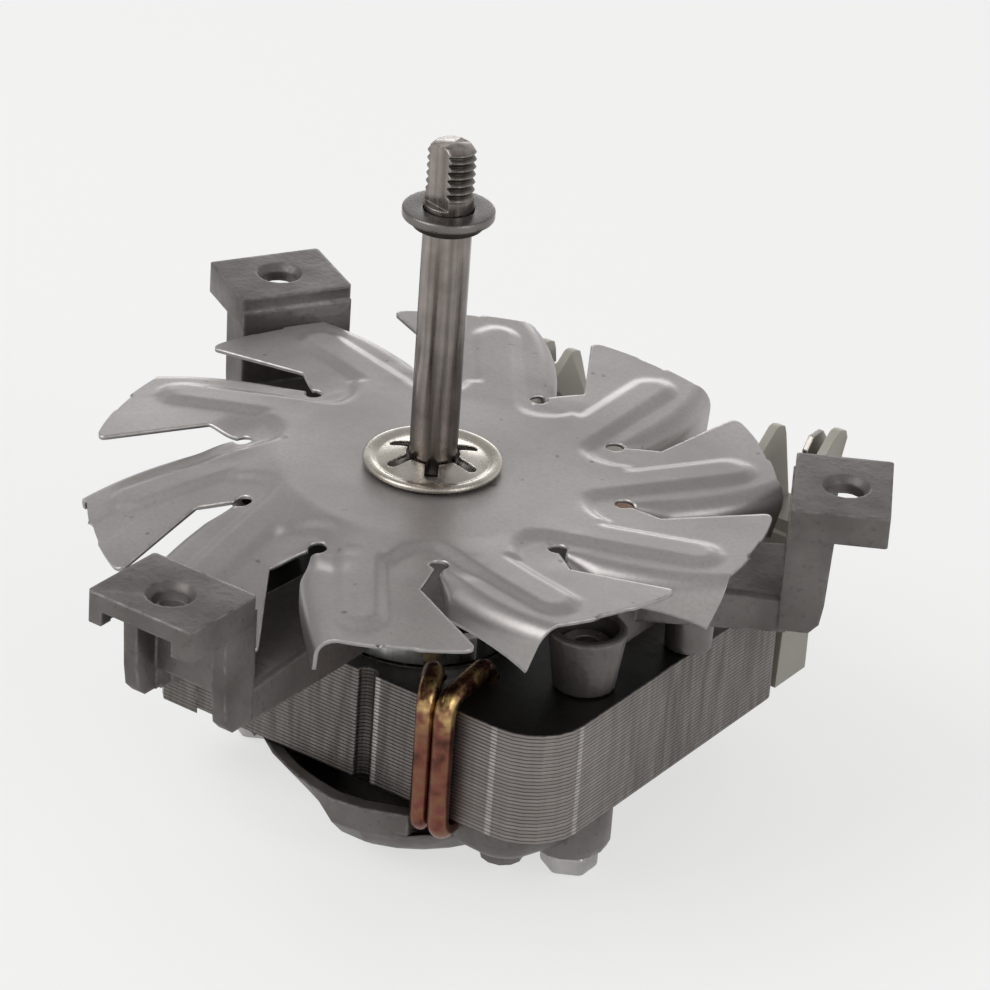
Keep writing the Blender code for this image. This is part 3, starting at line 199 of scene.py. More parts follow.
def lamination_material():
    """Brown-grey sheared steel with a line a sheet, upright shear marks and dull dark varnish on the faces.

    The steel is lighter round the front corner, a painted highlight. A groove runs up the front, darkened
    with painted shade, and there are painted upright highlights beside it and where the corner starts and
    ends.
    """
    made, tree, place = start_material("lamination_steel", metallic=0.85)
    low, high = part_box("stator_stack")
    lines = use_group(tree, SHEET_LINES, Place=place, Foot=low.z, Sheet=SHEET)
    worn_and_lit = use_group(tree, WORN_AND_LIT_EDGES, Place=place, Radius=0.5 * MM)
    upright = axes_of(tree, tree.nodes.new("ShaderNodeNewGeometry").outputs["Normal"])["Z"]
    on_face = remap(tree, sum_node(tree, "ABSOLUTE", upright), 0.6, 0.9)
    shear = noise(tree, place, 900.0, 3.0, (1.0, 1.0, 0.12))
    skin = blend(tree, remap(tree, shear, 0.35, 0.68), (0.135, 0.119, 0.108), (0.215, 0.198, 0.185))
    axes = axes_of(tree, place)
    # Painted highlight: the steel lightens towards the rounded front corner.
    from_lit_corner = add_node(tree, "ShaderNodeVectorMath", {"operation": "DISTANCE"}, i0=place,
                           i1=(high.x - 3.5 * MM, low.y + 3.5 * MM, (low.z + high.z) / 2)).outputs["Value"]
    corner = remap(tree, from_lit_corner, 22 * MM, 7 * MM)
    skin = blend(tree, times(tree, corner, 0.75), skin, (0.31, 0.28, 0.265))
    # Painted shade inside the groove that runs up the front face.
    groove_shade = times(tree, near(tree, axes["X"], GROOVE_X, 1.6 * MM), near(tree, axes["Y"], low.y, 3 * MM))
    skin = blend(tree, times(tree, groove_shade, 0.75), skin, (0.035, 0.032, 0.03))
    # Painted highlights: thin upright bright lines where the round corner starts and ends, and on the
    # groove's edge.
    front, right = near(tree, axes["Y"], low.y, 1.2 * MM), near(tree, axes["X"], high.x, 1.2 * MM)
    painted_highlights = 0.0
    for face, axis, spot, reach in ((front, "X", high.x - 8.0 * MM, 0.55 * MM),
                                    (right, "Y", low.y + 7.2 * MM, 0.5 * MM),
                                    (front, "X", GROOVE_X + 1.75 * MM, 0.45 * MM)):
        painted_highlights = sum_node(tree, "MAXIMUM", painted_highlights, times(tree, face, near(tree, axes[axis], spot, reach)))
    skin = blend(tree, times(tree, painted_highlights, 0.7), skin, (0.56, 0.52, 0.50))
    skin = blend(tree, times(tree, lines["Shade"], 0.35), skin, (0.15, 0.132, 0.12))
    skin = blend(tree, times(tree, lines["Gap"], 0.85), skin, (0.022, 0.02, 0.018))
    varnish = blend(tree, noise(tree, place, 160.0), (0.018, 0.018, 0.018), (0.055, 0.052, 0.048))
    whole = blend(tree, on_face, skin, varnish)
    # Corners lighter where the varnish wears off, and partly a painted highlight on the edges.
    bare_and_lit = blend(tree, times(tree, worn_and_lit["Mask"], 0.45), whole, (0.42, 0.40, 0.38))
    on_sheet, on_edge = (sum_node(tree, "SUBTRACT", 1.0, mask) for mask in (lines["Gap"], on_face))
    return finish_material(made, bare_and_lit, remap(tree, shear, 0.3, 0.7, 0.50, 0.34),
                           bump(tree, times(tree, on_sheet, on_edge), 0.7, 0.07 * MM, worn_and_lit["Normal"]))


def dress(material, *nodes):
    """Gives CAD nodes their finish through their objects' own material slots."""
    for name in nodes:
        frame["nodes"][name].material_slots[0].material = material


def link_object(name, mesh, material):
    """Object of a mesh with one material, in the scene."""
    mesh.materials.clear()
    mesh.materials.append(material)
    made = bpy.data.objects.new(name, mesh)
    bpy.context.scene.collection.objects.link(made)
    return made


def clean_mesh(mesh, merge, flatten=False):
    """Joins points that meet, and where asked the triangles of flat faces, and turns the faces outwards."""
    clean = bmesh.new()
    clean.from_mesh(mesh)
    bmesh.ops.remove_doubles(clean, verts=clean.verts, dist=merge)
    if flatten:
        bmesh.ops.dissolve_limit(clean, angle_limit=radians(1.0), verts=clean.verts, edges=clean.edges)
    bmesh.ops.recalc_face_normals(clean, faces=clean.faces)
    clean.to_mesh(mesh)
    clean.free()
    mesh.shade_smooth()


def grid_object(name, points, material, wrap_rows=False, wrap_columns=True, sharp=None):
    """Object from a grid of points: each face joins a point to the next in its row and in its column.

    Edges that turn by more than the sharp angle, in degrees, stay sharp.
    """
    rows, columns = points.shape[:2]
    index = np.arange(rows * columns).reshape(rows, columns)
    if wrap_rows:
        index = np.vstack([index, index[:1]])
    if wrap_columns:
        index = np.hstack([index, index[:, :1]])
    quads = np.stack([index[:-1, :-1], index[:-1, 1:], index[1:, 1:], index[1:, :-1]], axis=-1)
    mesh = bpy.data.meshes.new(name)
    mesh.from_pydata(points.reshape(-1, 3).tolist(), [], quads.reshape(-1, 4).tolist())
    clean_mesh(mesh, 1e-7)
    if sharp:
        mesh.set_sharp_from_angle(angle=radians(sharp))
    return link_object(name, mesh, material)


WORN_AND_LIT_EDGES = worn_and_lit_edge_group()
SHEET_LINES = sheet_group()
SHEET = 0.5 * MM
GROOVE_X = 3.1 * MM
LAMINATION = lamination_material()
dress(LAMINATION, "stator_stack", "coil_core", "rotor_core")

CORNER = np.array([(-29.8, -8.2), (-29.8, -14.4), (-28.6, -15.6), (-23.1, -15.6), (-26.0, -12.5)]) * MM
low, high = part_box("stator_stack")
middle, foot = np.broadcast_to(CORNER.mean(axis=0), CORNER.shape), low.z - 0.8 * MM
layers = ((middle, foot), (CORNER, foot), (CORNER, high.z), (middle, high.z))
corner = grid_object("stack_corner", np.stack([np.column_stack([flat, np.full(5, z)]) for flat, z in layers]),
                     LAMINATION, sharp=30)
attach(corner, "stator")


# The two bearing brackets are pressure die-cast in an aluminium alloy, left as cast, and so is the web that
# reaches from the lower one under the stack's front right corner. The skin is dull and a little cloudy, with
# small dark pores, and its corners are lighter, rubbed by handling and partly a painted highlight.

def cast_material():
    """Warm dark grey with soft clouds, small dark pores, a pimpled skin and faintly lighter edges, rubbed and
    partly a painted highlight.
    """
    made, tree, place = start_material("cast_aluminium", metallic=0.75)
    worn_and_lit = use_group(tree, WORN_AND_LIT_EDGES, Place=place, Radius=0.6 * MM)
    clouds = noise(tree, place, 110.0, 4.0)
    specks = noise(tree, place, 1300.0, 3.0)
    skin = blend(tree, remap(tree, clouds, 0.3, 0.7), (0.108, 0.098, 0.093), (0.182, 0.167, 0.161))
    pitted = blend(tree, remap(tree, specks, 0.58, 0.72, 0.0, 0.45), skin, (0.075, 0.068, 0.064))
    # Lighter corners: rubbed wear and partly a painted highlight on the edges.
    rubbed_and_lit = blend(tree, times(tree, worn_and_lit["Mask"], 0.45), pitted, (0.50, 0.47, 0.455))
    pimples = sum_node(tree, "ADD", times(tree, clouds, 2.0), specks)
    return finish_material(made, rubbed_and_lit, remap(tree, clouds, 0.3, 0.7, 0.58, 0.40),
                           bump(tree, pimples, 0.45, 0.12 * MM, worn_and_lit["Normal"]))


def turn_points(points, angle):
    """Points swung round the shaft's axis."""
    spin = np.array([[np.cos(angle), np.sin(angle), 0], [-np.sin(angle), np.cos(angle), 0], [0, 0, 1]])
    return points @ spin


def cut_away(made, outlines, low, high):
    """Cuts upright prisms out of an object: each outline in x and y, from a low height to a high one."""
    vertices, faces, count = [], [], 0
    for outline in outlines:
        sides = len(outline)
        vertices += [np.column_stack([outline, np.full(sides, z)]) for z in (low, high)]
        faces += [[count + k for k in reversed(range(sides))], [count + sides + k for k in range(sides)]]
        faces += [[count + k, count + (k + 1) % sides, count + sides + (k + 1) % sides, count + sides + k]
                  for k in range(sides)]
        count += 2 * sides
    mesh = bpy.data.meshes.new("cutters")
    mesh.from_pydata(np.concatenate(vertices).tolist(), [], faces)
    cutter = link_object("cutters", mesh, made.data.materials[0])
    cut = made.modifiers.new("cut", "BOOLEAN")
    cut.operation, cut.solver, cut.object = "DIFFERENCE", "EXACT", cutter
    bpy.context.view_layer.update()
    made.data = bpy.data.meshes.new_from_object(made.evaluated_get(bpy.context.evaluated_depsgraph_get()))
    made.modifiers.clear()
    bpy.data.objects.remove(cutter)
    bpy.data.meshes.remove(mesh)


def smooth_copy(node, name, material, edge, shape=None, cuts=(), sharp=38):
    """Copy of a CAD solid that takes its place, for a piece whose corners are soft.

    Its triangles are joined into flat faces, and it is cut and shaped where asked. Edges that turn by more
    than the sharp angle, in degrees, are rounded by a bevel, and the rest is shaded smooth.
    """
    mesh = frame["nodes"][node].data.copy()
    mesh.name = name
    clean_mesh(mesh, 1e-6)
    made = link_object(name, mesh, material)
    for outlines, low, high in cuts:
        cut_away(made, outlines, low, high)
    clean_mesh(made.data, 1e-6, flatten=True)
    if shape:
        points = np.empty(len(made.data.vertices) * 3)
        made.data.vertices.foreach_get("co", points)
        made.data.vertices.foreach_set("co", shape(points.reshape(-1, 3)).ravel())
    made.data.set_sharp_from_angle(angle=radians(sharp))
    rounding = made.modifiers.new("edges", "BEVEL")
    rounding.width, rounding.segments, rounding.limit_method = edge, 2, "ANGLE"
    rounding.angle_limit = radians(sharp)
    rounding.harden_normals = True
    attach(made, next(body for body, parts in BODIES.items() if node in parts))
    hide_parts(node)
    return made


def ease(value):
    """From 0 to 1 as the value does, level at both ends: 3v^2 - 2v^3."""
    value = np.clip(value, 0, 1)
    return value * value * (3 - 2 * value)


def at_each_leg(outline):
    """Outline of a cut at the front leg, in millimetres, repeated at all three legs."""
    spots = np.column_stack([np.array(outline) * MM, np.zeros(len(outline))])
    return [turn_points(spots, 2 * pi * step / 3)[:, :2] for step in range(3)]


def flat_front(points):
    """Lower bracket with the flat, sloping web of its front left side.

    Each point further than 10 mm along the web's normal is drawn in, in proportion, so that the bowl's outer
    radius at its height comes to lie on the web, and less so towards the front right. The rim's end at the
    copper rings moves up to them, the small lobe is shorter, and the right boss is a little slimmer.
    """
    x, y, z = points.T / MM
    inward_x, inward_y = 0.397, 0.918
    aside, along = -inward_x * x - inward_y * y, inward_y * x - inward_x * y
    reach = np.interp(z, [0, 2, 4.2, 6.8], [12.4, 15.7, 18.8, 20.8])
    web = 14.5 + 0.81 * (z - 4)
    share = ease((12 - along) / 8) * ease((22.5 - np.hypot(x, y)) / 1.5)
    past = np.maximum(aside - 10, 0) * share * (1 - (web - 10) / (reach - 10))
    moved = points + past[:, None] * np.array([inward_x, inward_y, 0.0]) * MM
    rim_end = (np.abs(x - 8.65) < 0.1) & (y < -16) & (z > 7.2)
    moved[rim_end, 0], moved[rim_end, 1] = 11.9 * MM, (y[rim_end] + 1.35) * MM
    lobe = (np.hypot(x - 19.5, y + 7.5) < 3.1) & (z < 3)
    moved[lobe, 2] += 1.0 * MM
    from_boss = np.hypot(x - 24.7, y)
    boss = (from_boss > 4.9) & (from_boss < 5.8) & (x > 24.7)
    moved[boss, 0] = (24.7 + (x[boss] - 24.7) * 0.9) * MM
    return moved


def web_points():
    """Cast web from the bowl past the small lobe to the screw boss.

    The outline is the tight band round three circles: at each heading the circle that reaches furthest. It
    draws in towards the foot, and its top steps up to the stack beyond the copper rings. Both ends close in a
    point.
    """
    centres, radii = np.array([[13.5, -8.8], [20.4, -8.5], [24.2, 0.0]]), np.array([5.2, 5.9, 5.2])
    angle = np.linspace(0, 2 * pi, 96, endpoint=False)
    heading = np.stack([np.cos(angle), np.sin(angle)])
    furthest = np.argmax(centres @ heading + radii[:, None], axis=0)
    rows = [np.broadcast_to([19.5, -5.7, 5.6], (96, 3))]
    for inset, z in ((2.6, 5.6), (1.8, 5.9), (0.9, 6.9), (0, 8.9), (0, 9.15), (0.15, 9.3)):
        rim = centres[furthest] + ((radii[furthest] - inset) * heading).T
        rows.append(np.column_stack([rim, z + (z > 9) * 1.5 * ease((rim[:, 0] - 18.2) / 1.2)]))
    return np.array(rows + [np.broadcast_to([19.5, -5.7, 9.3 + 1.5], (96, 3))]) * MM


BODIES = frame["record"]["behaviour"]["bodies"]
CAST = cast_material()
CAST_EDGE = 0.22 * MM
LUG_LIP = at_each_leg([(-5.6, -57.5), (4.8, -57.5), (4.8, -51.0), (-5.6, -51.0)])
LEG_FOOT = at_each_leg([(-5.4, -47.0), (5.4, -47.0), (5.4, -43.5), (-5.4, -43.5)])
upper_cuts = [(LUG_LIP, 46.0 * MM, 49.0 * MM), (LEG_FOOT, 33.0 * MM, 37.2 * MM)]
upper = smooth_copy("upper_bracket", "cast_upper_bracket", CAST, CAST_EDGE, cuts=upper_cuts)
lower = smooth_copy("lower_bracket", "cast_lower_bracket", CAST, CAST_EDGE, shape=flat_front)
web = grid_object("cast_web", web_points(), CAST, sharp=38)
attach(web, "stator")


# Four shading rings of heavy copper wire loop through slots beside the bore. They are bent from bar and
# brazed shut, and the heat leaves the copper red and gold in bands.

def along_path(path, radius, sides):
    """Closed tube: at each point of a flat closed path, a circle stands square to the way the path runs."""
    ahead = np.roll(path, -1, axis=0) - np.roll(path, 1, axis=0)
    ahead /= np.linalg.norm(ahead, axis=1, keepdims=True)
    flat = np.cross(path[1] - path[0], path[len(path) // 2] - path[0])
    across = np.broadcast_to(flat / np.linalg.norm(flat), path.shape)
    out = np.cross(ahead, across)
    angle = np.linspace(0, 2 * pi, sides, endpoint=False)[None, :, None]
    return path[:, None] + radius * (np.cos(angle) * out[:, None] + np.sin(angle) * across[:, None])


def rounded_loop(half_length, half_height, corner, steps):
    """Rectangle with round corners in two coordinates: an arc at each corner, run through in turn."""
    angle = np.linspace(0, pi / 2, steps)[None, :] + np.arange(4)[:, None] * pi / 2
    sign_x, sign_z = np.array([1, -1, -1, 1])[:, None], np.array([1, 1, -1, -1])[:, None]
    x = sign_x * (half_length - corner) + corner * np.cos(angle)
    z = sign_z * (half_height - corner) + corner * np.sin(angle)
    return x.ravel(), z.ravel()


def copper_material():
    """Copper from dull red to gold and violet in heat bands, with a painted gold highlight near its top,
    finely scratched.
    """
    made, tree, place = start_material("shading_copper", metallic=1.0)
    bands = noise(tree, place, 330.0, 3.0)
    heat = tree.nodes.new("ShaderNodeValToRGB")
    tree.links.new(bands, heat.inputs[0])
    stops = ((0.30, (0.075, 0.034, 0.026)), (0.44, (0.185, 0.070, 0.050)), (0.56, (0.195, 0.098, 0.058)),
             (0.68, (0.18, 0.062, 0.055)))
    while len(heat.color_ramp.elements) < len(stops):
        heat.color_ramp.elements.new(0.5)
    for element, (position, colour) in zip(heat.color_ramp.elements, stops):
        element.position, element.color = position, (*colour, 1.0)
    # Painted highlight: lighter gold patches towards the rings' tops.
    near_top = remap(tree, axes_of(tree, place)["Z"], 23 * MM, 28 * MM)
    top_highlight = times(tree, near_top, remap(tree, bands, 0.46, 0.62))
    bands_and_top_highlight = blend(tree, top_highlight, heat.outputs[0], (0.74, 0.52, 0.22))
    scratches = noise(tree, place, 2200.0, 2.0, (1.0, 1.0, 0.15))
    return finish_material(made, bands_and_top_highlight, remap(tree, scratches, 0.3, 0.7, 0.22, 0.42),
                           bump(tree, scratches, 0.25, 0.03 * MM))


COPPER = copper_material()
WIRE_R, WIRE_BEND = 1.35 * MM, 2.2 * MM
SLOTS = ((9.8 * MM, -10.8 * MM), (14.6 * MM, -6.2 * MM))
OUTER_RUNS = ((13.45 * MM, -17.2 * MM), (16.2 * MM, -17.25 * MM))
for side, sign in (("front", 1), ("back", -1)):
    for number, (slot, outer) in enumerate(zip(SLOTS, OUTER_RUNS), start=1):
        node = f"shading_ring_{side}_{number}"
        low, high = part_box(node)
        start, end = sign * np.array(slot), sign * np.array(outer)
        middle, reach = (start + end) / 2, (end - start) / 2
        length = np.linalg.norm(reach)
        run, rise = rounded_loop(length, (high.z - low.z) / 2 - WIRE_R, WIRE_BEND, 10)
        path = np.column_stack([middle + run[:, None] / length * reach, rise + (low.z + high.z) / 2])
        tube = along_path(path, WIRE_R, 28)
        ring = grid_object(f"copper_ring_{side}_{number}", tube, COPPER, wrap_rows=True)
        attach(ring, "stator")
        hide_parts(node)


# The bobbin is moulded in a cream nylon that lets some light through, and slides over the core bar with its
# wire already wound. The wire is enamelled copper in close turns. Two tinned tabs stand in the carrier above.

def nylon_material():
    """Cream plastic with light passing under its skin, faint flow clouds and a fine spark-eroded grain."""
    made, tree, place = start_material("bobbin_nylon", roughness=0.42)
    inputs = tree.nodes["Principled BSDF"].inputs
    inputs["Subsurface Weight"].default_value = 0.35
    inputs["Subsurface Radius"].default_value = (1.0, 0.85, 0.6)
    inputs["Subsurface Scale"].default_value = 0.0012
    spots = remap(tree, noise(tree, place, 420.0, 2.0), 0.70, 0.76)
    cream = blend(tree, noise(tree, place, 90.0, 3.0), (0.345, 0.325, 0.27), (0.44, 0.42, 0.37))
    marked = blend(tree, times(tree, spots, 0.35), cream, (0.25, 0.18, 0.10))
    grain = noise(tree, place, 3200.0, 2.0)
    return finish_material(made, marked, normal=bump(tree, grain, 0.15, 0.03 * MM))


def wire_material():
    """Amber enamel over copper, each turn a ridge round the bobbin, with painted shade between turns."""
    made, tree, place = start_material("enamelled_wire", roughness=0.28, metallic=0.6)
    tree.nodes["Principled BSDF"].inputs["Coat Weight"].default_value = 0.5
    wander = times(tree, noise(tree, place, 60.0, 2.0), 0.25 * MM)
    along = sum_node(tree, "ADD", axes_of(tree, place)["X"], wander)
    turns = sum_node(tree, "FRACT", sum_node(tree, "DIVIDE", along, 0.32 * MM))
    ridge_and_shade = sum_node(tree, "SINE", times(tree, turns, pi))
    # Painted shade between the turns. The same ridge is also the bump's height.
    return finish_material(made, blend(tree, ridge_and_shade, (0.08, 0.025, 0.010), (0.46, 0.20, 0.075)),
                           normal=bump(tree, ridge_and_shade, 0.9, 0.12 * MM))


def plated_group():
    """Skin of plated or ground metal: two colours in soft clouds, brighter corners that are partly wear and
    partly a painted highlight, and fine scratches.

    The scratches come out as a height and as a change of roughness.
    """
    tree, given, out = new_group(
        "plated_skin",
        {"Place": "Vector", "Dark": "Color", "Bright": "Color", "Stretch": "Vector", "Smoothness": "Float"},
        {"Color": "Color", "Roughness": "Float", "Normal": "Vector"})
    worn_and_lit = use_group(tree, WORN_AND_LIT_EDGES, Place=given["Place"], Radius=0.25 * MM)
    clouds = remap(tree, noise(tree, given["Place"], 260.0, 3.0), 0.3, 0.7)
    scratches = noise(tree, given["Place"], 2600.0, 2.0, given["Stretch"])
    skin = blend(tree, clouds, given["Dark"], given["Bright"])
    change = remap(tree, scratches, 0.3, 0.7, -0.08, 0.10)
    # Brighter corners: partly wear, partly a painted highlight on the edges.
    lit = blend(tree, times(tree, worn_and_lit["Mask"], 0.4), skin, (0.80, 0.78, 0.76))
    tree.links.new(lit, out["Color"])
    tree.links.new(sum_node(tree, "ADD", given["Smoothness"], change), out["Roughness"])
    tree.links.new(bump(tree, scratches, 0.2, 0.03 * MM, worn_and_lit["Normal"]), out["Normal"])
    return tree


def plated_material(name, dark, bright, roughness, stretch=(1.0, 1.0, 1.0)):
    """Plated or ground metal in two greys, with its scratches drawn out along the axis of a small stretch."""
    made, tree, place = start_material(name, metallic=1.0)
    skin = use_group(tree, PLATED_SKIN, Place=place, Dark=(*dark, 1.0), Bright=(*bright, 1.0),
                     Stretch=stretch, Smoothness=roughness)
    return finish_material(made, skin["Color"], skin["Roughness"], skin["Normal"])


def settled_bobbin(points):
    """Bobbin with the left guard walls lower and further left, the right ones apart, and a narrower skirt."""
    x, y, z = points.T / MM
    left_walls = (np.abs(x + 10) < 4.6) & (y > 44) & (z > 37.5)
    left_shelf = (np.abs(x + 10) < 4.6) & (y > 46.5)
    right_walls = (np.abs(x - 27.1) < 3.7) & (y > 38.8) & (z > 37.9)
    wall_tops = right_walls & (z > 39)
    skirt = (x > 29.2) & (y > 38) & (z < 33)
    along = -4.2 * (left_walls | left_shelf) - 1.6 * (left_walls & (x > -8)) - 0.7 * skirt
    along = along + np.where(right_walls, np.where(x > 27.1, 1.9, -1.3), 0)
    up = 1.5 * (wall_tops & (x > 27.1)) - 1.0 * (wall_tops & (x < 27.1)) - 3.5 * left_walls
    return points + np.stack([along, 0 * y, up], axis=-1) * MM


PLATED_SKIN = plated_group()
bobbin = smooth_copy("bobbin", "moulded_bobbin", nylon_material(), 0.25 * MM, shape=settled_bobbin)
dress(wire_material(), "coil_winding")
TINNED = plated_material("terminal_brass", (0.38, 0.355, 0.32), (0.52, 0.495, 0.46), 0.36, (1.0, 1.0, 0.2))
for side, aside, tall in (("left", -5.0, 0.45), ("right", 2.6, 1.3)):
    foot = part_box(f"terminal_{side}")[0].z
    tab = smooth_copy(f"terminal_{side}", f"tinned_tab_{side}", TINNED, 0.12 * MM,
                      shape=lambda points: (points - [0, 0, foot]) * [1, 1, tall] + [aside * MM, 0, foot])


# Each bearing is a porous bronze bush with a ball-shaped outside, held in its pocket by a fingered spring
# washer and fed by a ring of oiled felt. All of it is out of sight inside the brackets.

def felt_material():
    """Oil-dark felt: brown-grey with a coarse tangle of fibres in its relief."""
    made, tree, place = start_material("oil_felt", roughness=0.95)
    tangle = noise(tree, place, 1500.0, 5.0)
    return finish_material(made, blend(tree, tangle, (0.07, 0.055, 0.035), (0.20, 0.165, 0.12)),
                           normal=bump(tree, tangle, 0.8, 0.2 * MM))


BLACK_STEEL = plated_material("spring_steel", (0.022, 0.018, 0.016), (0.05, 0.043, 0.04), 0.40)
BRONZE = plated_material("bush_bronze", (0.34, 0.22, 0.11), (0.50, 0.35, 0.19), 0.45)
dress(BRONZE, "upper_bush", "lower_bush")
dress(felt_material(), "upper_oil_felt", "lower_oil_felt")
dress(BLACK_STEEL, "upper_retainer", "lower_retainer", "upper_thrust_washer", "lower_thrust_washer")


# Two zinc-plated screws go down through the cup posts and the stack, and nuts under the lower bosses clamp
# the brackets together. The spacers and the impeller's collar are turned from the same plated bar.

ZINC = plated_material("zinc_plated_steel", (0.31, 0.30, 0.29), (0.47, 0.456, 0.442), 0.34)
dress(ZINC, "clamp_screw_left", "clamp_screw_right", "upper_spacer", "lower_spacer", "impeller_collar")
for side in ("left", "right"):
    clamp_nut = smooth_copy(f"clamp_nut_{side}", f"domed_nut_{side}", ZINC, 0.7 * MM)


# The rotor's cage is cast in pure aluminium through the slots of its core and turned bright in a lathe.
# The upper end ring shows above the stack, with fine rings from the tool and dark smears of varnish.

def from_axis(tree, axes):
    """Distance from the shaft's axis."""
    flat = add_node(tree, "ShaderNodeCombineXYZ", X=axes["X"], Y=axes["Y"]).outputs[0]
    return add_node(tree, "ShaderNodeVectorMath", {"operation": "LENGTH"}, i0=flat).outputs["Value"]


def cage_material():
    """Bright turned aluminium: fine rings by the distance from the shaft's axis, and streaks up its side."""
    made, tree, place = start_material("cage_aluminium", metallic=1.0)
    streaks = noise(tree, place, 420.0, 4.0, (1.0, 1.0, 0.08))
    smears = noise(tree, place, 170.0, 3.0)
    skin = blend(tree, remap(tree, streaks, 0.32, 0.66), (0.30, 0.29, 0.28), (0.86, 0.86, 0.85))
    smeared = blend(tree, remap(tree, smears, 0.56, 0.70, 0.0, 0.7), skin, (0.13, 0.12, 0.11))
    rings = sum_node(tree, "SINE", times(tree, from_axis(tree, axes_of(tree, place)), 2 * pi / (0.22 * MM)))
    return finish_material(made, smeared, remap(tree, streaks, 0.3, 0.7, 0.40, 0.22),
                           bump(tree, rings, 0.2, 0.02 * MM))


dress(cage_material(), "rotor_cage")


# The shaft is ground steel, long enough to pass through the oven's rear wall. Its end has a rolled left-hand
# M6 thread with two flats milled through it, and a groove takes the circlip under the fan's washer.

def shaft_points():
    """Plain and threaded shaft in one grid.

    The radius is the shaft's, less a tooth that falls and rises once a pitch and moves down by a pitch for
    each left-hand turn. The groove and both chamfers cap it, and the flats cap how far it reaches along Y.
    """
    low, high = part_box("shaft")
    washer_low, washer_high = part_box("fan_washer")
    full, chamfer, pitch, depth, sides = high.x, 0.85 * MM, 1.0 * MM, 0.42 * MM, 120
    plain_end, groove_low, groove_high = washer_high.z + 1.5 * MM, washer_low.z - 1.4 * MM, washer_low.z
    plain = np.linspace(low.z + 1.2 * chamfer, groove_low - 0.02 * MM, 60)
    threaded = np.linspace(groove_high + 0.02 * MM, high.z, 260)
    z = np.concatenate([[low.z, low.z + chamfer], plain, [groove_low, groove_high - 0.01 * MM, groove_high],
                        threaded])[:, None]
    angle = np.linspace(0, 2 * pi, sides, endpoint=False)[None, :]
    phase = np.mod(z / pitch + angle / (2 * pi), 1.0)
    tooth = depth * np.clip(1.25 * (1 - np.abs(2 * phase - 1)) - 0.12, 0, 1)
    radius = full - tooth * np.clip((z - plain_end) / (0.9 * pitch), 0, 1)
    radius = np.where((z >= groove_low) & (z < groove_high), full - 0.55 * MM, radius)
    to_end = np.minimum(z - low.z, high.z - z)
    radius = np.minimum(radius, full - chamfer + np.clip(to_end, 0, chamfer))
    half_flat = np.where(z > washer_high.z + 0.6 * MM, HALF_FLAT, full)
    x, y = radius * np.cos(angle), np.clip(radius * np.sin(angle), -half_flat, half_flat)
    points = turn_points(np.stack([x, y, z + 0 * angle], axis=-1), FLAT_TURN)
    ends = [np.broadcast_to([0.0, 0.0, end], (1, sides, 3)) for end in (low.z, high.z)]
    return np.concatenate([ends[0], points, ends[1]])


def shaft_material():
    """Ground steel in long dark upright streaks, a painted reflection, with painted shade deep in the thread,
    below the shaft's own surface.
    """
    made, tree, place = start_material("shaft_steel", metallic=1.0)
    streaks = noise(tree, place, 700.0, 3.0, (1.0, 1.0, 0.02))
    skin = use_group(tree, PLATED_SKIN, Place=place, Dark=(0.21, 0.184, 0.168, 1.0),
                     Bright=(0.36, 0.322, 0.300, 1.0), Stretch=(1.0, 1.0, 0.05), Smoothness=0.24)
    # Painted reflection: long dark upright bands on the shaft.
    reflection_bands = blend(tree, remap(tree, streaks, 0.42, 0.64, 0.0, 0.55), skin["Color"], (0.085, 0.075, 0.068))
    axes, level = axes_of(tree, place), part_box("fan_washer")[1].z
    at_end = times(tree, remap(tree, axes["Z"], level, level + 0.3 * MM),
                   remap(tree, axes["Z"], level + 8.0 * MM, level + 7.2 * MM))
    aside = sum_node(tree, "ADD", times(tree, axes["X"], -np.sin(FLAT_TURN)),
                     times(tree, axes["Y"], np.cos(FLAT_TURN)))
    off_flat = remap(tree, sum_node(tree, "ABSOLUTE", aside), HALF_FLAT - 0.02 * MM, HALF_FLAT - 0.06 * MM)
    # Painted shade in the thread's grooves, where the radius falls below the shaft's own.
    thread_shade = times(tree, remap(tree, from_axis(tree, axes), 2.97 * MM, 2.62 * MM, 0.3, 0.95), off_flat)
    shaded_thread = blend(tree, times(tree, thread_shade, at_end), reflection_bands, (0.035, 0.032, 0.026))
    return finish_material(made, shaded_thread, skin["Roughness"], skin["Normal"])


FLAT_TURN, HALF_FLAT = radians(-14), 2.0 * MM
shaft = grid_object("threaded_shaft", shaft_points(), shaft_material(), sharp=50)
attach(shaft, "rotor")
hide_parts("shaft")


# A turned washer carries the fan. A blackened circlip in the shaft's groove holds it up.

def turned_grid(section, sides):
    """Points of a turned piece: each (radius, height) of a profile swung round the shaft's axis."""
    angle = np.linspace(0, 2 * pi, sides, endpoint=False)
    radius, height = section[:, :1], section[:, 1:]
    return np.stack([radius * np.cos(angle), radius * np.sin(angle), height + 0 * angle], axis=-1)


def round_profile(corners, edge, steps=5):
    """Closed profile of (radius, height) corners, each rounded from edge before it to edge past it.

    The curve is a blend of the points before, at and after the corner, by (1-t)^2, 2t(1-t) and t^2.
    """
    corners = np.array(corners)
    before, after = np.roll(corners, 1, axis=0) - corners, np.roll(corners, -1, axis=0) - corners
    size_before = np.linalg.norm(before, axis=1, keepdims=True)
    size_after = np.linalg.norm(after, axis=1, keepdims=True)
    first = corners + before / size_before * np.minimum(edge, 0.45 * size_before)
    last = corners + after / size_after * np.minimum(edge, 0.45 * size_after)
    t = np.linspace(0, 1, steps)[None, :, None]
    curve = (1 - t) ** 2 * first[:, None] + 2 * t * (1 - t) * corners[:, None] + t ** 2 * last[:, None]
    return curve.reshape(-1, 2)


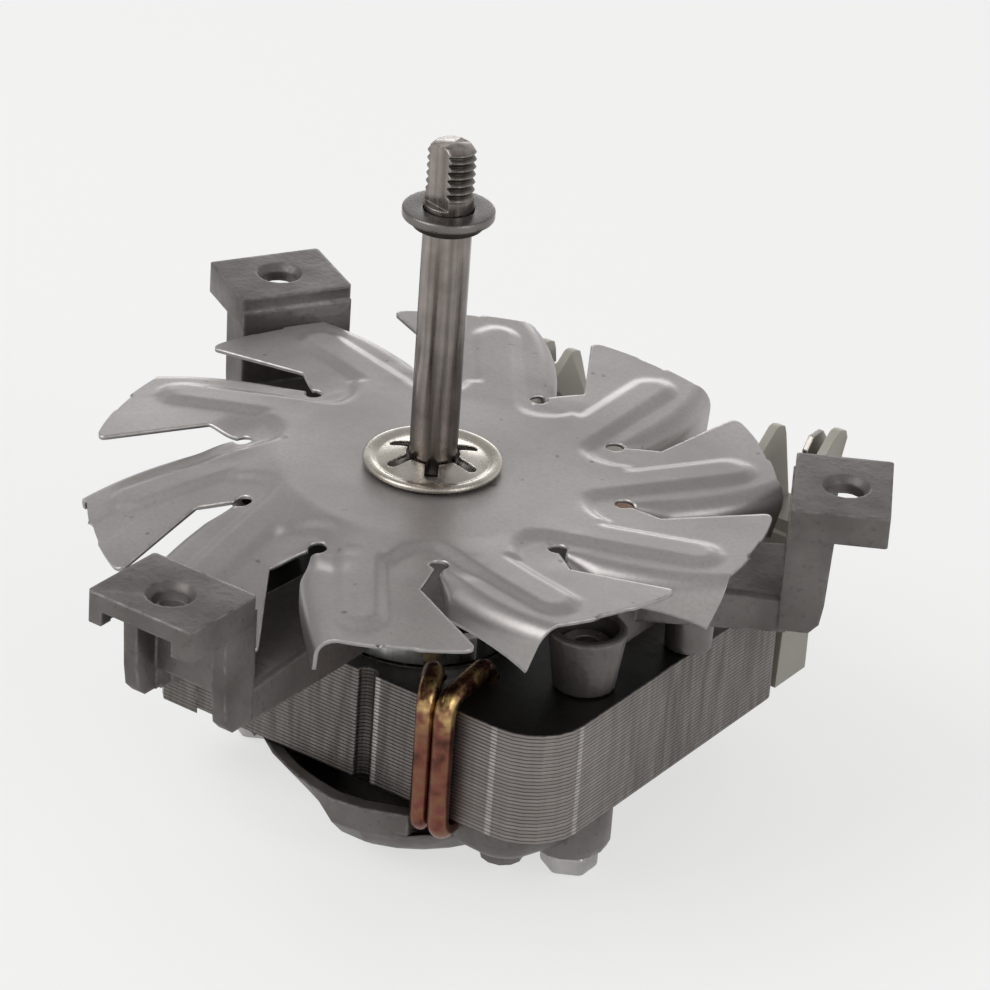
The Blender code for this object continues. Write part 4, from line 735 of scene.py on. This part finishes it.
def ring_section(node, bore, edge):
    """Rounded section of a flat ring: from its bore to its node's outside and over its height."""
    low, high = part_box(node)
    return round_profile([(bore, low.z), (high.x, low.z), (high.x, high.z), (bore, high.z)], edge)


WASHER_BORE, CIRCLIP_BORE = 3.06 * MM, 2.55 * MM
CIRCLIP_GAP, CIRCLIP_GAP_AT = radians(50), radians(124)
TURNED_STEEL = plated_material("turned_steel", (0.135, 0.125, 0.117), (0.205, 0.192, 0.182), 0.30)
washer = grid_object("turned_washer", turned_grid(ring_section("fan_washer", WASHER_BORE, 0.3 * MM), 96),
                     TURNED_STEEL, wrap_rows=True)
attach(washer, "rotor")
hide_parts("fan_washer")

section = ring_section("circlip", CIRCLIP_BORE, 0.15 * MM)
swing = CIRCLIP_GAP_AT + np.linspace(CIRCLIP_GAP / 2, 2 * pi - CIRCLIP_GAP / 2, 80)[None, :, None]
ring = np.concatenate([section[:, :1, None] * np.cos(swing), section[:, :1, None] * np.sin(swing),
                       section[:, 1:, None] + 0 * swing], axis=-1)
ends = [np.broadcast_to(ring[:, k].mean(axis=0), (len(ring), 1, 3)) for k in (0, -1)]
circlip = grid_object("black_circlip", np.concatenate([ends[0], ring, ends[1]], axis=1), BLACK_STEEL,
                      wrap_rows=True, wrap_columns=False, sharp=50)
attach(circlip, "rotor")
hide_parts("circlip")


# The cooling impeller is pressed from one steel disc. The tool raises a ten-pointed star, cuts ten slots that
# end in round holes, and folds each blade's curved edge down, so that the blades push air down over the coil.
# Each blade has since been bent a little by hand, and two of them hang well down.

BLADES = 10
PITCH = 2 * pi / BLADES
IMPELLER_PHASE = radians(20.57)
SHEET_METAL = 0.5 * MM
RIM_R, RIM_STEP = 43.0 * MM, 0.35 * MM
HOLE_R, HOLE_AT = 1.2 * MM, 24.5 * MM
NECK_R, NECK_ANGLE = 25.5 * MM, radians(1.46)
CORNER_R = 29.8 * MM
BEND_R, STRIP_TIP_ANGLE, TIP_ROUND = 2.3 * MM, radians(8.5), 1.2 * MM
RAISED, RAISED_SLOPE = 0.6 * MM, 2.0 * MM
RIB_HEADING, RIB_OFFSET, RIB_START, RIB_END, RIB_HALF = radians(35.1), 9.07 * MM, 12 * MM, 36.2 * MM, 1.5 * MM
POCKET_AT, POCKET_R = (25.2 * MM, -0.8 * MM), 4.0 * MM
BEND_FROM_R = 19.0 * MM
CORNER_ANGLES = np.radians([-5.0, -7.0, -6.4, -4.4, -4.4, -4.4, -6.4, -4.8, -4.6, -4.4])
TIP_ANGLES = np.radians([5.2, 5.0, 5.0, 5.0, 7.4, 7.4, 6.0, 5.2, 6.4, 5.4])
FOLD_SHIFTS = np.radians([0, 0, 0, 0.6, 0, 0, 0, 2.6, 0, 0])
STRIP_ROOMS = np.array([7.0, 6.4, 7.2, 7.0, 6.8, 7.6, 7.4, 5.8, 6.6, 6.1]) * MM
BLADE_RIMS = np.array([43.0, 43.4, 43.0, 42.3, 42.5, 42.3, 43.0, 43.1, 41.7, 42.8]) * MM
BLADE_DROPS = np.array([0.0, 0.1, 0.9, 0.0, -1.3, -5.9, -5.6, -1.0, 1.0, 0.3]) * MM


def fold_line(radius, blade):
    """Angle where the bend starts: it jumps off the neck, then swings round faster towards the rim.

    Past the neck it is a quadratic. A blade whose sheet slipped in the tool has its bend further in, by a
    sine wave that peaks 10 mm from the neck.
    """
    past = np.maximum(radius - NECK_R, 0) / MM
    slipped = FOLD_SHIFTS[blade] * np.sin(pi * np.clip(past / 20, 0, 1))
    return NECK_ANGLE + np.radians(2.6 * (1 - np.exp(-past / 2)) + 0.60 * past + 0.0125 * past ** 2) + slipped


def cut_line(radius, tip_angle, corner_angle):
    """Angle of the cut edge: from the neck out to a corner, then straight across the sheet to the rim."""
    share = np.clip((radius - NECK_R) / (CORNER_R - NECK_R), 0, 1)
    to_corner = -NECK_ANGLE + (corner_angle + NECK_ANGLE) * share
    ends = np.array([CORNER_R, RIM_R]) * np.exp(1j * np.array([corner_angle, tip_angle]))
    edge = ends[0] + np.linspace(0, 1, 80) * (ends[1] - ends[0])
    return np.where(radius < CORNER_R, to_corner, np.interp(radius, np.abs(edge), np.angle(edge)))


def tip_trim(radius):
    """Angle taken off the blade's tip: a quarter circle that rounds its corner with the rim."""
    past = np.clip((radius - RIM_R + TIP_ROUND) / TIP_ROUND, 0, 1)
    return 1.6 * TIP_ROUND / RIM_R * (1 - np.sqrt(1 - 0.999 * past ** 2))


def hole_side(radius):
    """Half angle that the round hole takes at a radius, narrowing to the slot's neck beyond it."""
    offset = np.minimum(np.abs(radius - HOLE_AT), HOLE_R)
    return np.sqrt(HOLE_R ** 2 - offset ** 2) / radius


def rib_distance(x, y, turns):
    """Distance from a rib's middle line: a straight run, aslant to the radius, with round ends."""
    heading = RIB_HEADING + turns * PITCH
    along = x * np.cos(heading) + y * np.sin(heading)
    aside = x * np.sin(heading) - y * np.cos(heading) - RIB_OFFSET
    return np.hypot(aside, np.maximum(along - RIB_END, 0) + np.maximum(RIB_START - along, 0))


def pressed_height(radius, angle):
    """Height of the pressed relief: a disc less a round pocket at each hole, and a rib on each blade."""
    x, y = radius * np.cos(angle), radius * np.sin(angle)
    raised = ease((NECK_R - radius) / RAISED_SLOPE)
    for turns in (0, 1):
        pocket = complex(*POCKET_AT) * np.exp(1j * turns * PITCH)
        raised = raised * ease((np.hypot(x - pocket.real, y - pocket.imag) - POCKET_R) / RAISED_SLOPE)
    for turns in (-1, 0, 1):
        rib = ease((RIB_HALF + RAISED_SLOPE - rib_distance(x, y, turns)) / RAISED_SLOPE)
        raised = 1 - (1 - raised) * (1 - rib)
    return RAISED * raised


def bent_by_hand(blade, radius, share):
    """How far the blade is bent up or down: as the radius grows, and near the slots with its neighbours."""
    own, before, after = BLADE_DROPS[blade], BLADE_DROPS[blade - 1], BLADE_DROPS[(blade + 1) % BLADES]
    near_start, near_end = 0.5 * (1 - ease(share / 0.4)), 0.5 * (1 - ease((1 - share) / 0.4))
    tied = 1 - ease((radius - NECK_R) / (CORNER_R - NECK_R))
    mixed = own + tied * (near_start * (before - own) + near_end * (after - own))
    return mixed * np.clip((radius - BEND_FROM_R) / (RIM_R - BEND_FROM_R), 0, 1)


def blade_reach(blade, radius, share):
    """The blade's own length: stretched past the corner, with two small steps in the rim between dies."""
    past = (radius - CORNER_R) / (RIM_R - CORNER_R)
    steps = ease((share - 0.33) / 0.02) - 0.6 * ease((share - 0.62) / 0.02)
    stretched = CORNER_R + past * (BLADE_RIMS[blade] - CORNER_R)
    return np.where(radius > CORNER_R, stretched, radius) - RIM_STEP * steps * ease(past)


def folded_strip(blade, radius, steps):
    """The folded strip, as a grid: it rolls over a soft radius and runs straight down.

    It is as long as the sheet between the fold line and the cut edge, but no longer than the room over the
    arms below. At each point it leans out square to the fold line.
    """
    cut = cut_line(radius, STRIP_TIP_ANGLE, CORNER_ANGLES[blade])
    travel = np.maximum(radius * (fold_line(radius, blade) - cut), 0.05 * MM)
    drop = bent_by_hand(blade, radius, 0.0 * radius)
    bend_r = np.minimum(BEND_R, travel / (0.75 * pi))
    travel = np.minimum(travel, bend_r * pi / 2 + np.maximum(STRIP_ROOMS[blade] + drop - bend_r, 0))
    travel, bend_r = travel[:, None] * np.linspace(1, 0, steps, endpoint=False)[None, :], bend_r[:, None]
    bent = np.minimum(travel / bend_r, pi / 2)
    out = bend_r * np.sin(bent)
    down = bend_r * (1 - np.cos(bent)) + np.maximum(travel - bend_r * pi / 2, 0)
    share = ((radius - NECK_R) / (RIM_R - NECK_R))[:, None]
    here = radius[:, None] - 0.27 * travel * share ** 2
    angle = fold_line(here, blade)
    slope = (fold_line(here + 0.1 * MM, blade) - angle) / (0.1 * MM) * here
    along_r, along_t = slope / np.sqrt(1 + slope ** 2), -1 / np.sqrt(1 + slope ** 2)
    reach = blade_reach(blade, here, 0 * here)
    x = reach * np.cos(angle) + out * (along_r * np.cos(angle) - along_t * np.sin(angle))
    y = reach * np.sin(angle) + out * (along_r * np.sin(angle) + along_t * np.cos(angle))
    return np.stack([x, y, drop[:, None] - down], axis=-1)


def blade_grids(blade):
    """One blade and its share of the hub, as two grids: the sheet's rows outwards, and the folded strip."""
    across = np.linspace(0, 1, 47)[None, :]
    inner = np.linspace(3.3 * MM, HOLE_AT - HOLE_R, 32)[:, None]
    swing = np.linspace(-pi / 2, np.arcsin((NECK_R - HOLE_AT) / HOLE_R), 9)[1:]
    beside = (HOLE_AT + HOLE_R * np.sin(swing))[:, None]
    tip_start = RIM_R - TIP_ROUND
    outer = np.concatenate([np.linspace(NECK_R, CORNER_R, 11), np.linspace(CORNER_R, tip_start, 20)[1:],
                            tip_start + TIP_ROUND * np.sin(np.linspace(0, pi / 2, 9)[1:])])
    end = (PITCH + cut_line(outer, TIP_ANGLES[blade], CORNER_ANGLES[blade]) - tip_trim(outer))[:, None]
    start = fold_line(outer, blade)[:, None]
    reach = np.concatenate([inner, beside, outer[1:, None]])
    angle = np.concatenate([PITCH * across + 0 * inner,
                            hole_side(beside) + (PITCH - 2 * hole_side(beside)) * across,
                            (start + (end - start) * across)[1:]])
    share = across + 0 * reach
    level = pressed_height(reach, angle) + bent_by_hand(blade, reach, share)
    reach = blade_reach(blade, reach, share)
    sheet = np.stack([reach * np.cos(angle), reach * np.sin(angle), level], axis=-1)
    edge = sheet[-len(outer):, :1]
    return sheet, np.concatenate([folded_strip(blade, outer, 12), edge], axis=1)


def impeller_mesh(name, level, material):
    """All blades turned into place at a level, merged at their seams, with the sheet's thickness put on."""
    vertices, faces, count = [], [], 0
    for blade in range(BLADES):
        for grid in blade_grids(blade):
            rows, columns = grid.shape[:2]
            index = np.arange(rows * columns).reshape(rows, columns) + count
            quads = np.stack([index[:-1, :-1], index[1:, :-1], index[1:, 1:], index[:-1, 1:]], axis=-1)
            faces.append(quads.reshape(-1, 4))
            vertices.append(turn_points(grid.reshape(-1, 3), IMPELLER_PHASE + blade * PITCH) + [0, 0, level])
            count += rows * columns
    mesh = bpy.data.meshes.new(name)
    mesh.from_pydata(np.concatenate(vertices).tolist(), [], np.concatenate(faces).tolist())
    clean_mesh(mesh, 2e-6)
    made = link_object(name, mesh, material)
    wall = made.modifiers.new("sheet", "SOLIDIFY")
    wall.thickness, wall.offset = SHEET_METAL, 0.0
    return made


def impeller_material():
    """Satin cold-rolled sheet: warm mid grey in soft clouds, small dark specks, and lighter edges, rubbed and
    partly a painted highlight.
    """
    made, tree, place = start_material("impeller_steel", metallic=0.7)
    worn_and_lit = use_group(tree, WORN_AND_LIT_EDGES, Place=place, Radius=0.2 * MM)
    clouds = noise(tree, place, 55.0, 4.0)
    grain = noise(tree, place, 1900.0, 3.0)
    specks = remap(tree, noise(tree, place, 520.0, 1.0), 0.74, 0.79)
    skin = blend(tree, remap(tree, clouds, 0.3, 0.7), (0.315, 0.296, 0.289), (0.425, 0.402, 0.393))
    grained = blend(tree, remap(tree, grain, 0.4, 0.7, 0.0, 0.3), skin, (0.27, 0.253, 0.246))
    marked = blend(tree, times(tree, specks, 0.55), grained, (0.09, 0.085, 0.08))
    # Lighter edges: partly rubbed, partly a painted highlight on the square-cut sheet edges.
    lit = blend(tree, times(tree, worn_and_lit["Mask"], 0.55), marked, (0.66, 0.65, 0.63))
    return finish_material(made, lit, remap(tree, clouds, 0.3, 0.7, 0.42, 0.33),
                           bump(tree, grain, 0.18, 0.04 * MM, worn_and_lit["Normal"]))


NUT_RECESS = 0.3 * MM
impeller_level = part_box("push_nut")[0].z - NUT_RECESS - SHEET_METAL / 2 - RAISED
impeller = impeller_mesh("pressed_impeller", impeller_level, impeller_material())
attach(impeller, "rotor")
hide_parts("cooling_impeller")


# A star washer is pushed down the shaft over the impeller and bites into it with its teeth. It is pressed
# from spring strip, dished in the middle, rolled up at its rim and plated in a warm nickel.

def push_nut_points():
    """Dished washer as a closed skin: the rim's roll and the dish as one profile, swung round the axis."""
    low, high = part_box("push_nut")
    rim, seat, sheet, bore_r = high.x, low.z, 0.5 * MM, 3.3 * MM
    crown = seat + 1.3 * MM
    corners = [(rim - 0.3 * MM, seat), (rim, seat + 0.3 * MM), (rim, seat + 0.7 * MM),
               (rim - 0.4 * MM, seat + 0.9 * MM), (rim - 1.1 * MM, seat + 0.85 * MM),
               (rim - 1.7 * MM, seat + sheet), (0.5 * rim, crown), (bore_r, crown + 0.2 * MM),
               (bore_r, crown + 0.2 * MM - sheet), (0.5 * rim, crown - sheet), (rim - 1.7 * MM, seat)]
    return turned_grid(round_profile(corners, 0.35 * MM), 144)


def slot_outline(start, end, half):
    """Slot along X with a round outer end, as points in a flat plane."""
    swing = np.linspace(-pi / 2, pi / 2, 9)
    outer = np.column_stack([end - half + half * np.cos(swing), half * np.sin(swing)])
    return np.pad(np.vstack([outer, [[start, half], [start, -half]]]), ((0, 0), (0, 1)))


SLOT = slot_outline(3.2 * MM, 6.2 * MM, 0.85 * MM)
SLOT_TURN, SLOT_COUNT = radians(-56), 6
nickel = plated_material("warm_nickel", (0.40, 0.37, 0.32), (0.62, 0.58, 0.52), 0.26)
push_nut = grid_object("star_push_nut", push_nut_points(), nickel, wrap_rows=True)
low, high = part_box("push_nut")
slots = [turn_points(SLOT, SLOT_TURN + 2 * pi * step / SLOT_COUNT)[:, :2] for step in range(SLOT_COUNT)]
cut_away(push_nut, slots, low.z - MM, high.z + MM)
push_nut.data.set_sharp_from_angle(angle=radians(40))
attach(push_nut, "rotor")
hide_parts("push_nut")


# The floor is a wide pale sheet of paper under the motor. The room round it is as pale near the horizon and
# dimmer overhead and to the left. Three soft lamps stand high at the front left, low behind and to the right.

def seen_rays(tree):
    """1 for what the camera sees, also in a reflection or through glass, and 0 for light on the object."""
    rays = tree.nodes.new("ShaderNodeLightPath").outputs
    seen = sum_node(tree, "MAXIMUM", rays["Is Camera Ray"], rays["Is Glossy Ray"])
    return sum_node(tree, "MAXIMUM", seen, rays["Is Transmission Ray"])


def floor_material():
    """Pale paper with a faint mottle, as white as the background to the camera and in reflections.

    A part of its colour comes from the lamps alone, so that it takes the shadow.
    """
    made, tree, place = start_material("paper_floor", roughness=0.95)
    inputs = tree.nodes["Principled BSDF"].inputs
    glow = blend(tree, seen_rays(tree), (0.0, 0.0, 0.0), (0.65, 0.65, 0.647))
    tree.links.new(glow, inputs["Emission Color"])
    inputs["Emission Strength"].default_value = 1.0
    mottle = noise(tree, place, 14.0, 2.0)
    return finish_material(made, blend(tree, mottle, (0.276, 0.274, 0.272), (0.284, 0.282, 0.280)))


FLOOR_REACH = 3.0
floor_mesh = bpy.data.meshes.new("floor")
corners = np.array([(-1, -1, 0), (1, -1, 0), (1, 1, 0), (-1, 1, 0)]) * FLOOR_REACH
floor_mesh.from_pydata(corners.tolist(), [], [(0, 1, 2, 3)])
floor = link_object("floor", floor_mesh, floor_material())

world = bpy.data.worlds.new("studio")
bpy.context.scene.world = world
world.use_nodes = True
tree = world.node_tree
heading = axes_of(tree, tree.nodes.new("ShaderNodeTexCoord").outputs["Generated"])
overhead, leftwards = remap(tree, heading["Z"], 0.20, 0.75), remap(tree, heading["X"], -0.60, -0.95)
dim = sum_node(tree, "MAXIMUM", overhead, leftwards)
room = blend(tree, dim, (0.88, 0.88, 0.88), (0.47, 0.47, 0.47))
lit_room = blend(tree, seen_rays(tree), (0.44, 0.44, 0.44), room)
tree.links.new(lit_room, tree.nodes["Background"].inputs["Color"])


def placed(axes, place):
    """Matrix of an object with its three axes and its place as columns."""
    matrix = np.eye(4)
    matrix[:3] = np.column_stack([*axes, place])
    return Matrix(matrix)


def soft_lamp(name, place, size, power):
    """Square lamp that faces a point inside the motor."""
    data = bpy.data.lights.new(name, "AREA")
    data.size, data.energy = size, power
    lamp = bpy.data.objects.new(name, data)
    bpy.context.scene.collection.objects.link(lamp)
    away = np.array(place) - [0, 0, LAMP_AIM_RISE]
    away = away / np.linalg.norm(away)
    side = np.cross([0, 0, 1.0], away)
    side = side / np.linalg.norm(side)
    lamp.matrix_world = placed([side, np.cross(away, side), away], place)


LAMP_AIM_RISE = 45 * MM
soft_lamp("key_lamp", (-0.38, -0.58, 0.78), 0.70, 4.8)
soft_lamp("back_lamp", (-0.66, 0.98, 0.12), 0.55, 2.0)
soft_lamp("right_lamp", (0.75, -0.10, 0.45), 0.40, 1.3)


# The camera stands where the photograph's did: above and to the front right of the lower left corner, far off
# with a long lens, and turned a little about its own line of sight.

AZIMUTH, ELEVATION, ROLL = 0.5911, 0.487, 0.0719
DISTANCE, SHIFT_RIGHT, SHIFT_UP = 570.4 * MM, 7.81 * MM, -2.93 * MM
FOCAL_PIXELS, FRAME_PIXELS, SENSOR = 4612.23, 990, 36.0
AIM_RISE = 47.3 * MM
level_back = np.array([np.sin(AZIMUTH), -np.cos(AZIMUTH), 0.0])
back = np.cos(ELEVATION) * level_back + [0, 0, np.sin(ELEVATION)]
right = np.array([np.cos(AZIMUTH), np.sin(AZIMUTH), 0.0])
up = np.cross(back, right)
rolled_right = np.cos(ROLL) * right + np.sin(ROLL) * up
rolled_up = -np.sin(ROLL) * right + np.cos(ROLL) * up
spot = back * DISTANCE + rolled_right * SHIFT_RIGHT + rolled_up * SHIFT_UP + [0, 0, AIM_RISE]
lens = bpy.data.cameras.new("photo_camera")
lens.sensor_width, lens.lens = SENSOR, FOCAL_PIXELS / FRAME_PIXELS * SENSOR
lens.clip_start, lens.clip_end = 0.01, 20.0
camera = bpy.data.objects.new("photo_camera", lens)
bpy.context.scene.collection.objects.link(camera)
camera.matrix_world = placed([rolled_right, rolled_up, back], spot)
bpy.context.scene.camera = camera
bpy.context.scene.view_settings.view_transform = "Standard"
